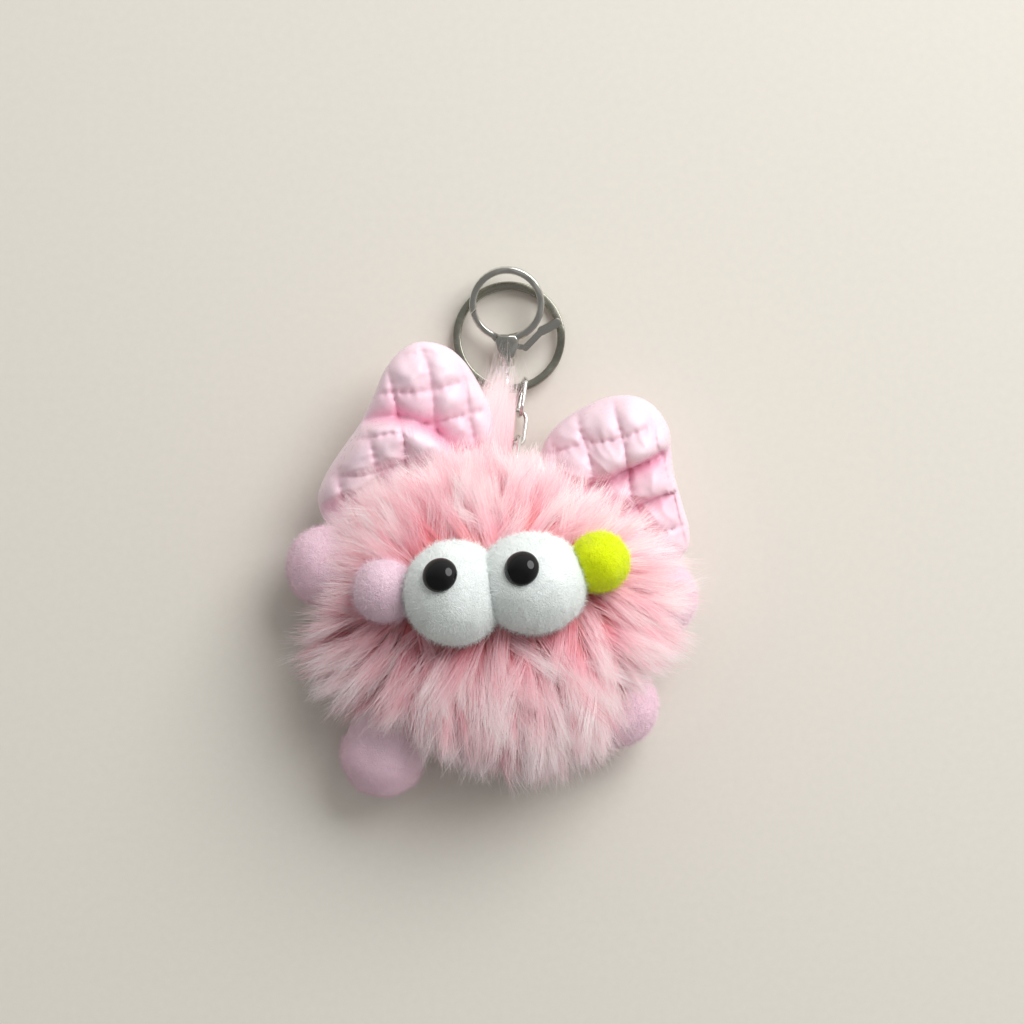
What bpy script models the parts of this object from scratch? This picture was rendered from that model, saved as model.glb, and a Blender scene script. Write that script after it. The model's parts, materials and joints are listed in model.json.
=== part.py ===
"""Plush keychain: a stuffed fur body with quilted ears, felt balls, a short chain, a split ring and a clasp.

Metres, +Z up. The toy lies on its back with its face up, ears and key ring towards +Y.
Lengths in the tables are millimetres, and at() turns a point into metres in the finished frame.
"""

import math

import bmesh
import bpy
from mathutils import Matrix, Vector

MM = 0.001
GAP = 0.3  # clearance between pieces that touch

# The toy's own centre line sits a little off the middle of its outline.
SHIFT = Vector((1.6, 0.41, 0.0))

# Fur body
BODY_CENTRE = Vector((1.3, -21.7, 20.0))
BODY_RADII = Vector((38.0, 32.0, 21.0))
PELT_THICKNESS = 5.0
MOUTH_RADIUS = 3.9
BODY_FACETS = (26, 16)

# Felt balls
EYE_RADIUS = 13.0
EYES = {"eye_left": Vector((-9.6, -16.2, 46.0)), "eye_right": Vector((11.2, -13.7, 46.0))}
PUPIL_RADIUS = 4.5
PUPIL_BULGE = 2.9
SHANK_RADIUS = 1.2
SHANK_LENGTH = 6.0
PUPIL_AIM = {"pupil_left": Vector((-0.30, 0.40, 1.0)), "pupil_right": Vector((-0.32, 0.33, 1.0))}
PINK_BALL = (Vector((-27.6, -15.8, 40.5)), 8.0)
YELLOW_BALL = (Vector((27.4, -8.3, 45.0)), 7.4)
LIMBS = {
    "hand_left": (Vector((-45.6, -10.1, 16.0)), Vector((-36.0, -13.5, 17.0)), 11.0),
    "hand_right": (Vector((43.0, -18.3, 12.5)), Vector((35.0, -19.5, 15.0)), 10.4),
    "foot_left": (Vector((-29.2, -59.4, 12.2)), Vector((-22.0, -43.0, 14.0)), 11.4),
    "foot_right": (Vector((32.8, -46.9, 12.0)), Vector((24.0, -38.0, 14.0)), 10.6),
}

# Quilted ears: outlines in each ear's own plane, x along its sewn edge, y out to its tip
EAR_HINGE_OUT = 4.7
EAR_HINGE_HEIGHT = 14.0
EAR_RISE = math.radians(12.0)
EAR_THICKNESS = 15.0
EAR_CLOTH = 1.0
EARS = {
    "ear_left": {
        "edge": Vector((0.881, 0.474, 0.0)),
        "outline": [
            (-17.5, -2.6), (-21.0, 2.0), (-21.2, 8.5), (-16.5, 14.2), (-9.5, 18.3), (-3.5, 21.3),
            (2.5, 25.5), (9.3, 31.0), (15.0, 33.8), (20.3, 33.2), (25.0, 29.2), (26.8, 23.5),
            (26.8, 16.5), (25.2, 9.0), (21.8, 1.8), (17.5, -2.6), (0.0, -3.4),
        ],
    },
    "ear_right": {
        "edge": Vector((0.794, -0.608, 0.0)),
        "outline": [
            (-16.5, -2.6), (-20.0, 1.5), (-21.4, 7.0), (-21.0, 12.0), (-19.0, 17.2), (-16.0, 22.4),
            (-11.6, 26.6), (-6.2, 27.8), (-0.9, 25.8), (3.2, 21.6), (7.2, 17.4), (13.3, 12.3),
            (18.5, 7.6), (19.0, 3.0), (16.0, -2.0), (0.0, -3.4),
        ],
    },
}

# Chain: the links hang in a row from the loop at the crown to the split ring
WIRE_RADIUS = 0.6
LINK_LENGTH = 11.4
LINK_BEND = 2.35
HOOK_REACH = 2 * WIRE_RADIUS + GAP  # from one wire's middle to the next wire's
LINK_YAW = math.radians(8.0)
LINK_PITCHES = {"chain_link_1": -12.0, "chain_link_2": -28.0, "chain_link_3": -42.0}
LINK_ROLLS = {"chain_link_1": 100.0, "chain_link_2": 32.0, "chain_link_3": 112.0}
LOOP_LENGTH = 14.0
LOOP_PITCH = -24.0
LOOP_YAW = math.radians(16.0)
LOOP_ROLL = 40.0

# Split ring
RING_RADIUS = 13.95
RING_BAND = 2.0
RING_WIRE = 0.95
RING_TURN_GAP = 0.15
RING_FOOT = Vector((4.2, 37.35, 3.5))
RING_TILT = math.radians(-4.9)
RING_LINK_ANGLE = math.radians(16.0)
RING_LINK_REACH = 2.2

# Clasp: y runs along it from the swivel to the hook
CLASP_BASE = Vector((3.6, 43.53, 4.84))
CLASP_RISE = math.radians(9.0)
HOOK_CENTRE = Vector((0.0, 16.5, 0.0))
HOOK_OUTER = 10.0
HOOK_INNER = 8.2
HOOK_HALF_DEPTH = 1.8
PIVOT = Vector((0.0, 5.4, 0.0))
NOSE_REACH = 12.9  # from the pivot to the split between gate and nose
SLOT_RADIUS = 4.4
SLOT_FLOOR = 3.2
SLOT_HALF = 1.15
PIN_RADIUS = 0.6
BARREL_RADIUS = 2.0
EYE_LOOP_CENTRE = -5.4
EYE_LOOP_RADIUS = 3.3
EYE_LOOP_WIRE = 0.7

FINISHES = {
    "pink_fur": ((0.90, 0.42, 0.47), 0.9, 0.0),
    "stuffing": ((0.93, 0.92, 0.90), 1.0, 0.0),
    "satin": ((0.90, 0.62, 0.72), 0.4, 0.0),
    "white_felt": ((0.86, 0.90, 0.88), 0.95, 0.0),
    "lilac_felt": ((0.84, 0.62, 0.76), 0.95, 0.0),
    "pink_felt": ((0.88, 0.62, 0.74), 0.95, 0.0),
    "yellow_felt": ((0.80, 0.93, 0.02), 0.95, 0.0),
    "black_gloss": ((0.01, 0.01, 0.012), 0.08, 0.0),
    "cord": ((0.85, 0.55, 0.62), 0.8, 0.0),
    "silver": ((0.80, 0.80, 0.80), 0.2, 1.0),
    "nickel": ((0.52, 0.51, 0.47), 0.25, 1.0),
}


def at(point):
    return (Vector(point) + SHIFT) * MM


def clear_scene():
    for ob in list(bpy.data.objects):
        bpy.data.objects.remove(ob, do_unlink=True)


def finish(name, slot):
    colour, roughness, metallic = FINISHES[slot]
    mat = bpy.data.materials.new(name)
    mat.use_nodes = True
    shader = mat.node_tree.nodes["Principled BSDF"]
    shader.inputs["Base Color"].default_value = (*colour, 1.0)
    shader.inputs["Roughness"].default_value = roughness
    shader.inputs["Metallic"].default_value = metallic
    return mat


def new_object(name, bm, slot=None, place=None):
    """Turns a bmesh in millimetres into an object in metres."""
    bmesh.ops.scale(bm, vec=(MM, MM, MM), verts=bm.verts)
    bmesh.ops.recalc_face_normals(bm, faces=bm.faces)
    mesh = bpy.data.meshes.new(name)
    bm.to_mesh(mesh)
    bm.free()
    mesh.shade_smooth()
    mesh.set_sharp_from_angle(angle=math.radians(40.0))
    ob = bpy.data.objects.new(name, mesh)
    bpy.context.scene.collection.objects.link(ob)
    if slot:
        mesh.materials.append(finish(name, slot))
    if place:
        ob.matrix_world = place
    return ob


def tool_object(name, bm, place=None):
    """A shape that only cuts or joins others."""
    ob = new_object(name, bm, place=place)
    ob.hide_render = True
    ob.display_type = "WIRE"
    return ob


def combine(ob, tool, operation):
    mod = ob.modifiers.new(tool.name, "BOOLEAN")
    mod.operation = operation
    mod.solver = "EXACT"
    mod.object = tool


def frame_at(point, x_axis, y_axis, z_axis):
    """A placement with the given axes, its origin at a point in millimetres."""
    turn = Matrix((x_axis, y_axis, z_axis)).transposed().to_4x4()
    return Matrix.Translation(point * MM) @ turn


def sphere(centre, radii, segments=20, rings=12):
    bm = bmesh.new()
    bmesh.ops.create_uvsphere(bm, u_segments=segments, v_segments=rings, radius=1.0)
    bmesh.ops.scale(bm, vec=radii, verts=bm.verts)
    bmesh.ops.translate(bm, vec=centre, verts=bm.verts)
    return bm


def cut_flat(bm, point, normal):
    """Removes what lies on the normal's side of a plane and closes the cut with one face."""
    geom = bm.verts[:] + bm.edges[:] + bm.faces[:]
    cut = bmesh.ops.bisect_plane(bm, geom=geom, plane_co=point, plane_no=normal, clear_outer=True)
    edges = [e for e in cut["geom_cut"] if isinstance(e, bmesh.types.BMEdge)]
    bmesh.ops.contextual_create(bm, geom=edges)


def cylinder(start, end, radius, segments=20):
    start = Vector(start)
    run = Vector(end) - start
    bm = bmesh.new()
    place = Matrix.Translation(start + run / 2) @ run.to_track_quat("Z", "Y").to_matrix().to_4x4()
    bmesh.ops.create_cone(
        bm, cap_ends=True, segments=segments, radius1=radius, radius2=radius,
        depth=run.length, matrix=place,
    )
    return bm


def sweep(points, ups, section, closed):
    """Carries a flat section along a path; the section's first axis follows the ups."""
    bm = bmesh.new()
    rows = []
    count = len(points)
    for i, point in enumerate(points):
        before = points[i - 1] if closed or i > 0 else points[i]
        after = points[(i + 1) % count] if closed or i < count - 1 else points[i]
        side = (after - before).normalized().cross(ups[i]).normalized()
        rows.append([bm.verts.new(point + ups[i] * u + side * v) for u, v in section])
    for i in range(count if closed else count - 1):
        here, there = rows[i], rows[(i + 1) % count]
        for j in range(len(section)):
            k = (j + 1) % len(section)
            bm.faces.new((here[j], here[k], there[k], there[j]))
    if not closed:
        bm.faces.new(rows[0])
        bm.faces.new(rows[-1])
    return bm


def circle(radius, sides):
    turn = 2 * math.pi / sides
    return [(radius * math.cos(turn * i), radius * math.sin(turn * i)) for i in range(sides)]


def arc_points(centre, radius, start, end, count):
    step = (end - start) / (count - 1)
    angles = [math.radians(start + step * i) for i in range(count)]
    return [(centre[0] + radius * math.cos(a), centre[1] + radius * math.sin(a)) for a in angles]


def plate(outline, low, high, bevel=0.0):
    """A flat outline drawn up from one height to another, its two rims rounded."""
    bm = bmesh.new()
    face = bm.faces.new([bm.verts.new((x, y, low)) for x, y in outline])
    grown = bmesh.ops.extrude_face_region(bm, geom=[face])
    top = [v for v in grown["geom"] if isinstance(v, bmesh.types.BMVert)]
    bmesh.ops.translate(bm, vec=(0, 0, high - low), verts=top)
    if bevel:
        rims = [e for e in bm.edges if abs(e.verts[0].co.z - e.verts[1].co.z) < 1e-6]
        bmesh.ops.bevel(
            bm, geom=rims, offset=bevel, segments=2, profile=0.5, affect="EDGES", material=-1,
        )
    return bm


def hull_plate(points, low, high):
    bm = bmesh.new()
    for x, y in points:
        bm.verts.new((x, y, low))
        bm.verts.new((x, y, high))
    bmesh.ops.convex_hull(bm, input=bm.verts)
    flat = math.radians(1.0)
    bmesh.ops.dissolve_limit(bm, angle_limit=flat, verts=bm.verts, edges=bm.edges)
    return bm


def bar(start, end, radius, low, high):
    """A flat bar with round ends."""
    ends = arc_points(start, radius, 0, 330, 12) + arc_points(end, radius, 0, 330, 12)
    return hull_plate(ends, low, high)


def stadium(length, bend, count=7):
    """The middle line of a link: x along it from its near bend, y across it."""
    far = length - 2 * bend
    near_end = [(-x, y) for x, y in arc_points((0, 0), bend, -90, 90, count)]
    far_end = [(far + x, -y) for x, y in arc_points((0, 0), bend, -90, 90, count)]
    return near_end + far_end


def link_mesh(length, near_reach):
    """An oval of round wire whose origin is on the wire that it hooks over."""
    middle = stadium(length - 2 * WIRE_RADIUS, LINK_BEND)
    start = LINK_BEND - near_reach
    points = [Vector((x + start, y, 0)) for x, y in middle]
    return sweep(points, [Vector((0, 0, 1))] * len(points), circle(WIRE_RADIUS, 8), True)


def along(pitch, yaw):
    """Direction of a link that points to +Y, turned by a yaw to +X and a pitch upwards."""
    tilt = math.radians(pitch)
    return Vector((math.sin(yaw) * math.cos(tilt), math.cos(yaw) * math.cos(tilt), math.sin(tilt)))


def link_axes(direction, roll):
    """Axes of a link: along it, across it and through its opening."""
    level = Vector((0, 0, 1)).cross(direction).normalized()
    across = Matrix.Rotation(math.radians(roll), 3, direction) @ level
    return direction, across, direction.cross(across)


def loop_line():
    """Inner end and direction of the cord loop at the crown, which holds the last link."""
    crown_point = chain_places()["chain_link_3"][0]
    direction = along(LOOP_PITCH, LOOP_YAW)
    return crown_point - direction * (LOOP_LENGTH - 2 * WIRE_RADIUS), direction


def build_body():
    centre = BODY_CENTRE + SHIFT
    pelt = sphere(centre, BODY_RADII, *BODY_FACETS)
    cut_flat(pelt, (0, 0, 0), (0, 0, -1))
    ob = new_object("fur_pelt", pelt, "pink_fur")
    cavity = sphere(centre, BODY_RADII - Vector((1, 1, 1)) * PELT_THICKNESS, *BODY_FACETS)
    cut_flat(cavity, (0, 0, PELT_THICKNESS), (0, 0, -1))
    combine(ob, tool_object("pelt_cavity", cavity), "DIFFERENCE")
    start, direction = loop_line()
    mouth = cylinder(start + SHIFT - direction * 2, start + SHIFT + direction * 16, MOUTH_RADIUS, 16)
    combine(ob, tool_object("pelt_mouth", mouth), "DIFFERENCE")
    inside = BODY_RADII - Vector((1, 1, 1)) * (PELT_THICKNESS + GAP + 0.1)
    stuffing = sphere(centre, inside, *BODY_FACETS)
    cut_flat(stuffing, (0, 0, PELT_THICKNESS + GAP), (0, 0, -1))
    new_object("stuffing", stuffing, "stuffing")
    around = sphere(centre, BODY_RADII + Vector((1, 1, 1)) * GAP, *BODY_FACETS)
    return tool_object("pelt_clearance", around)


def press_together(bm, centre, radius, other_centre, other_radius):
    """Flattens a ball where it presses on its neighbour."""
    between = other_centre - centre
    reach = (between.length_squared + radius**2 - other_radius**2) / (2 * between.length)
    side = between.normalized()
    cut_flat(bm, centre + SHIFT + side * (reach - GAP / 2), side)


def pupil_place(eye, pupil):
    """A pupil's frame: its origin on the eye's surface and its z axis pointing out."""
    aim = PUPIL_AIM[pupil].normalized()
    turn = aim.to_track_quat("Z", "Y").to_matrix().to_4x4()
    return Matrix.Translation(at(EYES[eye] + aim * EYE_RADIUS)) @ turn


def build_pupil(eye, pupil):
    """A domed safety eye with its shank, and the hole that the shank sits in."""
    dome = sphere((0, 0, 0.35), (PUPIL_RADIUS, PUPIL_RADIUS, PUPIL_BULGE), 20, 10)
    cut_flat(dome, (0, 0, 0.1), (0, 0, -1))
    place = pupil_place(eye, pupil)
    ob = new_object(pupil, dome, "black_gloss", place)
    shank = cylinder((0, 0, -SHANK_LENGTH), (0, 0, 1.0), SHANK_RADIUS, 12)
    combine(ob, tool_object(pupil + "_shank", shank, place), "UNION")
    seat = cylinder((0, 0, 0.1 - GAP), (0, 0, 4.0), PUPIL_RADIUS + 1.0, 24)
    hole = cylinder((0, 0, -SHANK_LENGTH - GAP), (0, 0, 1.0), SHANK_RADIUS + GAP, 12)
    return [tool_object(pupil + "_seat", seat, place), tool_object(pupil + "_hole", hole, place)]


def build_face(clearance):
    left, right = EYES["eye_left"], EYES["eye_right"]
    pink, pink_radius = PINK_BALL
    yellow, yellow_radius = YELLOW_BALL
    neighbours = {
        "eye_left": [(right, EYE_RADIUS), (pink, pink_radius)],
        "eye_right": [(left, EYE_RADIUS), (yellow, yellow_radius)],
        "ball_pink": [(left, EYE_RADIUS)],
        "ball_yellow": [(right, EYE_RADIUS)],
    }
    balls = {
        "eye_left": (left, EYE_RADIUS, "white_felt"),
        "eye_right": (right, EYE_RADIUS, "white_felt"),
        "ball_pink": (pink, pink_radius, "pink_felt"),
        "ball_yellow": (yellow, yellow_radius, "yellow_felt"),
    }
    pupils = {"eye_left": "pupil_left", "eye_right": "pupil_right"}
    for name, (centre, radius, slot) in balls.items():
        bm = sphere(centre + SHIFT, Vector((radius, radius, radius)))
        for other, other_radius in neighbours[name]:
            press_together(bm, centre, radius, other, other_radius)
        ob = new_object(name, bm, slot)
        combine(ob, clearance, "DIFFERENCE")
        if name in pupils:
            for tool in build_pupil(name, pupils[name]):
                combine(ob, tool, "DIFFERENCE")


def build_limbs(clearance):
    for name, (tip, root, radius) in LIMBS.items():
        bm = sphere((0, 0, 0), Vector((radius, radius, radius)), 20, 12)
        stretch = (root - tip).length
        for v in bm.verts:
            if v.co.z > 1e-6:
                v.co.z += stretch
        turn = (root - tip).to_track_quat("Z", "Y").to_matrix().to_4x4()
        ob = new_object(name, bm, "lilac_felt", Matrix.Translation(at(tip)) @ turn)
        combine(ob, clearance, "DIFFERENCE")


def ear_frame(name):
    """An ear's hinge: its middle lies on the sewn edge, just clear of the body's outline."""
    edge = EARS[name]["edge"].normalized()
    out = Vector((-edge.y, edge.x, 0))
    reach = math.hypot(BODY_RADII.x * out.x, BODY_RADII.y * out.y)
    touch = Vector((BODY_RADII.x**2 * out.x, BODY_RADII.y**2 * out.y, 0)) / reach
    middle = BODY_CENTRE + touch + out * EAR_HINGE_OUT
    middle.z = EAR_HINGE_HEIGHT
    rise = Matrix.Rotation(EAR_RISE, 3, edge)
    return middle, edge, rise @ out, rise @ Vector((0, 0, 1))


def smooth_outline(corners, steps=2):
    """A closed curve through the corners (Catmull-Rom)."""
    points = [Vector(c) for c in corners]
    count = len(points)
    curve = []
    for i in range(count):
        a, b, c, d = (points[(i + k) % count] for k in (-1, 0, 1, 2))
        for step in range(steps):
            t = step / steps
            bend = 2 * b + (c - a) * t
            bend += (2 * a - 5 * b + 4 * c - d) * t**2 + (3 * b - a - 3 * c + d) * t**3
            curve.append(bend / 2)
    return curve


def pad(outline, thickness, inset):
    """A pillow over a flat outline, thickest in the middle, its rim pulled in by the inset."""
    curve = smooth_outline(outline)
    centre = sum(curve, Vector((0, 0))) / len(curve)
    rim = [p - (p - centre).normalized() * inset for p in curve]
    bm = bmesh.new()
    levels = [(1.0, 0.0), (0.94, 0.5), (0.76, 0.82), (0.4, 1.0)]
    sheets = {}
    for side in (1, -1):
        rows = []
        for share, height in levels:
            if height == 0.0 and side < 0:
                rows.append(sheets[1][0])
                continue
            z = side * height * (thickness / 2 - inset)
            row = [centre + (p - centre) * share for p in rim]
            rows.append([bm.verts.new((p.x, p.y, z)) for p in row])
        sheets[side] = rows
        for outer, inner in zip(rows, rows[1:]):
            for i in range(len(outer)):
                j = (i + 1) % len(outer)
                bm.faces.new((outer[i], outer[j], inner[j], inner[i]))
        bm.faces.new(rows[-1])
    return bm


def build_ears():
    for name, ear in EARS.items():
        middle, edge, out, up = ear_frame(name)
        place = frame_at(middle + SHIFT, edge, out, up)
        cover = new_object(name + "_cover", pad(ear["outline"], EAR_THICKNESS, 0.0), "satin", place)
        pocket = pad(ear["outline"], EAR_THICKNESS, EAR_CLOTH)
        combine(cover, tool_object(name + "_pocket", pocket, place), "DIFFERENCE")
        corners = [(-11, -8), (11, -8), (11, 1), (-11, 1)]
        combine(cover, tool_object(name + "_seam", plate(corners, -1.2, 1.2), place), "DIFFERENCE")
        wadding = pad(ear["outline"], EAR_THICKNESS, EAR_CLOTH + GAP + 0.1)
        new_object(name + "_wadding", wadding, "stuffing", place)


def ring_axes():
    tilt = Matrix.Rotation(RING_TILT, 3, "X")
    return tilt @ Vector((1, 0, 0)), tilt @ Vector((0, 1, 0)), tilt @ Vector((0, 0, 1))


def ring_link_point():
    """Middle of the ring's band where the first link holds it."""
    x_axis, y_axis, _ = ring_axes()
    a = RING_LINK_ANGLE
    return RING_FOOT + x_axis * (RING_RADIUS * math.sin(a)) + y_axis * (RING_RADIUS * (1 - math.cos(a)))


def chain_places():
    """Each link's hooking point and direction, worked back from the ring to the crown."""
    pitch_length = LINK_LENGTH - 2 * WIRE_RADIUS - HOOK_REACH
    step = pitch_length - RING_LINK_REACH
    point = ring_link_point()
    places = {}
    for name, pitch in LINK_PITCHES.items():
        direction = along(pitch, LINK_YAW)
        point = point - direction * step
        places[name] = (point.copy(), direction)
        step = pitch_length
    return places


def build_chain():
    places = chain_places()
    for name, (point, direction) in places.items():
        place = frame_at(point + SHIFT, *link_axes(direction, LINK_ROLLS[name]))
        new_object(name, link_mesh(LINK_LENGTH, HOOK_REACH), "silver", place)
    start, direction = loop_line()
    place = frame_at(start + SHIFT, *link_axes(direction, LOOP_ROLL))
    new_object("hanging_loop", link_mesh(LOOP_LENGTH, 0.0), "cord", place)


def coil_height(angle):
    """The ring's wire lies flat for a turn, then steps up onto the next turn over a short stretch."""
    rise = RING_WIRE + RING_TURN_GAP
    share = min(max((angle - 330) / 42, 0), 1)
    return rise * (share * share * (3 - 2 * share) - 0.5)


def build_ring():
    half_band, half_wire, chamfer = RING_BAND / 2, RING_WIRE / 2, 0.2
    section = [
        (-half_wire, -half_band + chamfer), (-half_wire + chamfer, -half_band),
        (half_wire - chamfer, -half_band), (half_wire, -half_band + chamfer),
        (half_wire, half_band - chamfer), (half_wire - chamfer, half_band),
        (-half_wire + chamfer, half_band), (-half_wire, half_band - chamfer),
    ]
    first, last, step = 14, 686, 9.6
    points = []
    for i in range(round((last - first) / step) + 1):
        angle = first + step * i
        a = math.radians(angle)
        spot = (RING_RADIUS * math.cos(a), RING_RADIUS * (1 + math.sin(a)), coil_height(angle))
        points.append(Vector(spot))
    bm = sweep(points, [Vector((0, 0, 1))] * len(points), section, False)
    new_object("split_ring", bm, "nickel", frame_at(RING_FOOT + SHIFT, *ring_axes()))


def clasp_place():
    rise = Matrix.Rotation(CLASP_RISE, 4, "X")
    return Matrix.Translation(at(CLASP_BASE)) @ rise


def band_outline(outer, inner, start, end, count):
    """Part of a flat ring about the hook's centre, between two angles in degrees."""
    spread = arc_points(HOOK_CENTRE, outer, start, end, count)
    return spread + arc_points(HOOK_CENTRE, inner, end, start, count)


def nose_angle(radius, reach):
    """Where the circle about the hook's centre meets the circle about the pivot, on its left."""
    distance = (HOOK_CENTRE - PIVOT).length
    cosine = (distance**2 + radius**2 - reach**2) / (2 * distance * radius)
    return 270.0 - math.degrees(math.acos(cosine))


def slot_outline():
    half = math.degrees(math.asin((PIVOT.y - SLOT_FLOOR) / SLOT_RADIUS))
    return arc_points(PIVOT, SLOT_RADIUS, -half, 180 + half, 20)


def build_clasp_body():
    reach = NOSE_REACH + GAP / 2
    outer_end = nose_angle(HOOK_OUTER, reach)
    inner_end = nose_angle(HOOK_INNER, reach)
    rim = arc_points(HOOK_CENTRE, HOOK_OUTER, -86, outer_end, 30)
    rim += arc_points(HOOK_CENTRE, HOOK_INNER, inner_end, -86, 30)
    place = clasp_place()
    body = new_object("clasp_body", plate(rim, -HOOK_HALF_DEPTH, HOOK_HALF_DEPTH, 0.4), "nickel", place)
    half_neck = [(1.9, 2.2), (2.8, 4.6), (3.2, 6.8), (2.2, 8.2)]
    neck = half_neck + [(-x, y) for x, y in reversed(half_neck)]
    combine(body, tool_object("clasp_neck", plate(neck, -1.95, 1.95, 0.3), place), "UNION")
    barrel = cylinder((0, 0, 0), (0, 3.0, 0), BARREL_RADIUS)
    combine(body, tool_object("clasp_barrel", barrel, place), "UNION")
    cuts = {
        "clasp_slot": plate(slot_outline(), -SLOT_HALF, SLOT_HALF),
        "clasp_pin_hole": cylinder((*PIVOT.xy, -3), (*PIVOT.xy, 3), PIN_RADIUS + GAP, 12),
        "clasp_bore": cylinder((0, -0.5, 0), (0, 1.5, 0), 1.05, 16),
        "clasp_cavity": cylinder((0, 1.2, 0), (0, 2.7, 0), 1.6, 16),
    }
    for name, bm in cuts.items():
        combine(body, tool_object(name, bm, place), "DIFFERENCE")


def build_gate():
    place = clasp_place()
    outer, inner = HOOK_OUTER - 0.1, HOOK_INNER + 0.1
    reach = NOSE_REACH - GAP / 2
    rim = arc_points(HOOK_CENTRE, outer, nose_angle(outer, reach), 247, 12)
    rim += arc_points(HOOK_CENTRE, inner, 247, nose_angle(inner, reach), 12)
    low, high = -0.8, 0.25
    hub = arc_points(PIVOT, 1.7, 0, 340, 18)
    root = arc_points(HOOK_CENTRE, inner, 244, 246, 2) + arc_points(HOOK_CENTRE, outer, 244, 246, 2)
    pieces = {
        "gate_web": hull_plate(hub + root, low, high),
        "gate_arm": bar(PIVOT.xy, (5.2, 4.9), 0.7, low, high),
        "gate_lever": bar((5.0, 4.9), (9.3, 9.4), 0.9, -1.1, 1.1),
        "gate_tab": bar((9.3, 9.4), (13.3, 11.5), 1.2, -1.2, 1.2),
    }
    turned = place @ Matrix.Translation(PIVOT * MM)
    arc = plate(rim, -1.5, 1.5, 0.3)
    bmesh.ops.translate(arc, vec=-PIVOT, verts=arc.verts)
    gate = new_object("clasp_gate", arc, "nickel", turned)
    for name, bm in pieces.items():
        combine(gate, tool_object(name, bm, place), "UNION")
    hole = cylinder((*PIVOT.xy, -3), (*PIVOT.xy, 3), PIN_RADIUS + GAP, 12)
    combine(gate, tool_object("gate_hole", hole, place), "DIFFERENCE")


def build_pin_and_spring():
    place = clasp_place() @ Matrix.Translation(PIVOT * MM)
    pin = new_object("gate_pin", cylinder((0, 0, -2.4), (0, 0, 2.4), PIN_RADIUS, 12), "nickel", place)
    for side, name in ((1, "pin_head_front"), (-1, "pin_head_back")):
        head = cylinder((0, 0, side * 2.25), (0, 0, side * 2.65), 1.05, 16)
        combine(pin, tool_object(name, head, place), "UNION")
    wire, turns, per_turn = 0.13, 1.6, 16
    points = []
    for i in range(int(turns * per_turn) + 1):
        a = 2 * math.pi * i / per_turn
        points.append(Vector((1.2 * math.cos(a), 1.2 * math.sin(a), 0.62 + 0.33 * i / per_turn * 0.75)))
    bm = sweep(points, [Vector((0, 0, 1))] * len(points), circle(wire, 6), False)
    new_object("gate_spring", bm, "silver", place)


def build_swivel():
    place = clasp_place()
    middle = [Vector((0, EYE_LOOP_CENTRE + y, z)) for y, z in circle(EYE_LOOP_RADIUS, 24)]
    bm = sweep(middle, [Vector((1, 0, 0))] * len(middle), circle(EYE_LOOP_WIRE, 8), True)
    ob = new_object("swivel_eye", bm, "silver", place)
    post = cylinder((0, -2.2, 0), (0, 2.0, 0), 0.72, 14)
    head = cylinder((0, 1.55, 0), (0, 2.4, 0), 1.25, 14)
    combine(ob, tool_object("swivel_post", post, place), "UNION")
    combine(ob, tool_object("swivel_head", head, place), "UNION")


def build():
    clear_scene()
    clearance = build_body()
    build_face(clearance)
    build_limbs(clearance)
    build_ears()
    build_chain()
    build_ring()
    build_clasp_body()
    build_gate()
    build_pin_and_spring()
    build_swivel()


build()
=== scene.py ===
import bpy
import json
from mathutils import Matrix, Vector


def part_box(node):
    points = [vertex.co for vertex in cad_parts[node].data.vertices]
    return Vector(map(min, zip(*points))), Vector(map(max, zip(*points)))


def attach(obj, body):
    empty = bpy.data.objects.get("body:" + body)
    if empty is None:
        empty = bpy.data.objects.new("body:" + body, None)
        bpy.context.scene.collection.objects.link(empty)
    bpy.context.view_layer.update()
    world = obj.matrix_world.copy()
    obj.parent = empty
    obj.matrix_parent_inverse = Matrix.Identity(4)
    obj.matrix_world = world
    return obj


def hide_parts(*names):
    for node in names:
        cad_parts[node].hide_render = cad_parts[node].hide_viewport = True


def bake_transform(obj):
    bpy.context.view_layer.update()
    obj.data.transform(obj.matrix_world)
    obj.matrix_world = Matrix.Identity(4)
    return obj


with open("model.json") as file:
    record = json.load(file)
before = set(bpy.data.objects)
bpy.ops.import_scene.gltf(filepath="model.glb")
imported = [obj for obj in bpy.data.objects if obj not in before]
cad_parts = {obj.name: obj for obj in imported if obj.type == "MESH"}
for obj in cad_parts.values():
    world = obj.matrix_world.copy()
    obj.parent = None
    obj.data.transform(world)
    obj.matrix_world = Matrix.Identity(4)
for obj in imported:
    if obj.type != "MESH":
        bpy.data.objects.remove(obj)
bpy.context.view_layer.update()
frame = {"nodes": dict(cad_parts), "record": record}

import json
import math

import bmesh
import bpy
import numpy as np
from bpy.props import FloatProperty, FloatVectorProperty, IntProperty, PointerProperty
from mathutils import Matrix, Vector, noise
from mathutils.kdtree import KDTree

bl_info = {
    "name": "Plush keychain",
    "version": (1, 0, 0),
    "blender": (4, 5, 0),
    "location": "View3D > Sidebar > Plush",
    "description": "Fur, felt, quilted satin and plated metal for a plush keychain",
    "category": "Add Mesh",
}

MM = 0.001

# Lengths are in millimetres down to the stage's. The body's widest section lies this far under its top.
BODY_HALF_HEIGHT = 21.0

# Felt balls of the face: centre and radius. Each presses on the neighbours named after it.
FACE_BALLS = {
    "eye_left": ((-8.0, -15.8, 46.0), 13.2),
    "eye_right": ((12.8, -13.3, 46.0), 12.9),
    "ball_pink": ((-26.0, -15.4, 40.5), 8.1),
    "ball_yellow": ((29.0, -7.9, 45.0), 7.5),
}
NEIGHBOURS = {
    "eye_left": ("eye_right", "ball_pink"),
    "eye_right": ("eye_left", "ball_yellow"),
    "ball_pink": ("eye_left",),
    "ball_yellow": ("eye_right",),
}
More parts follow.
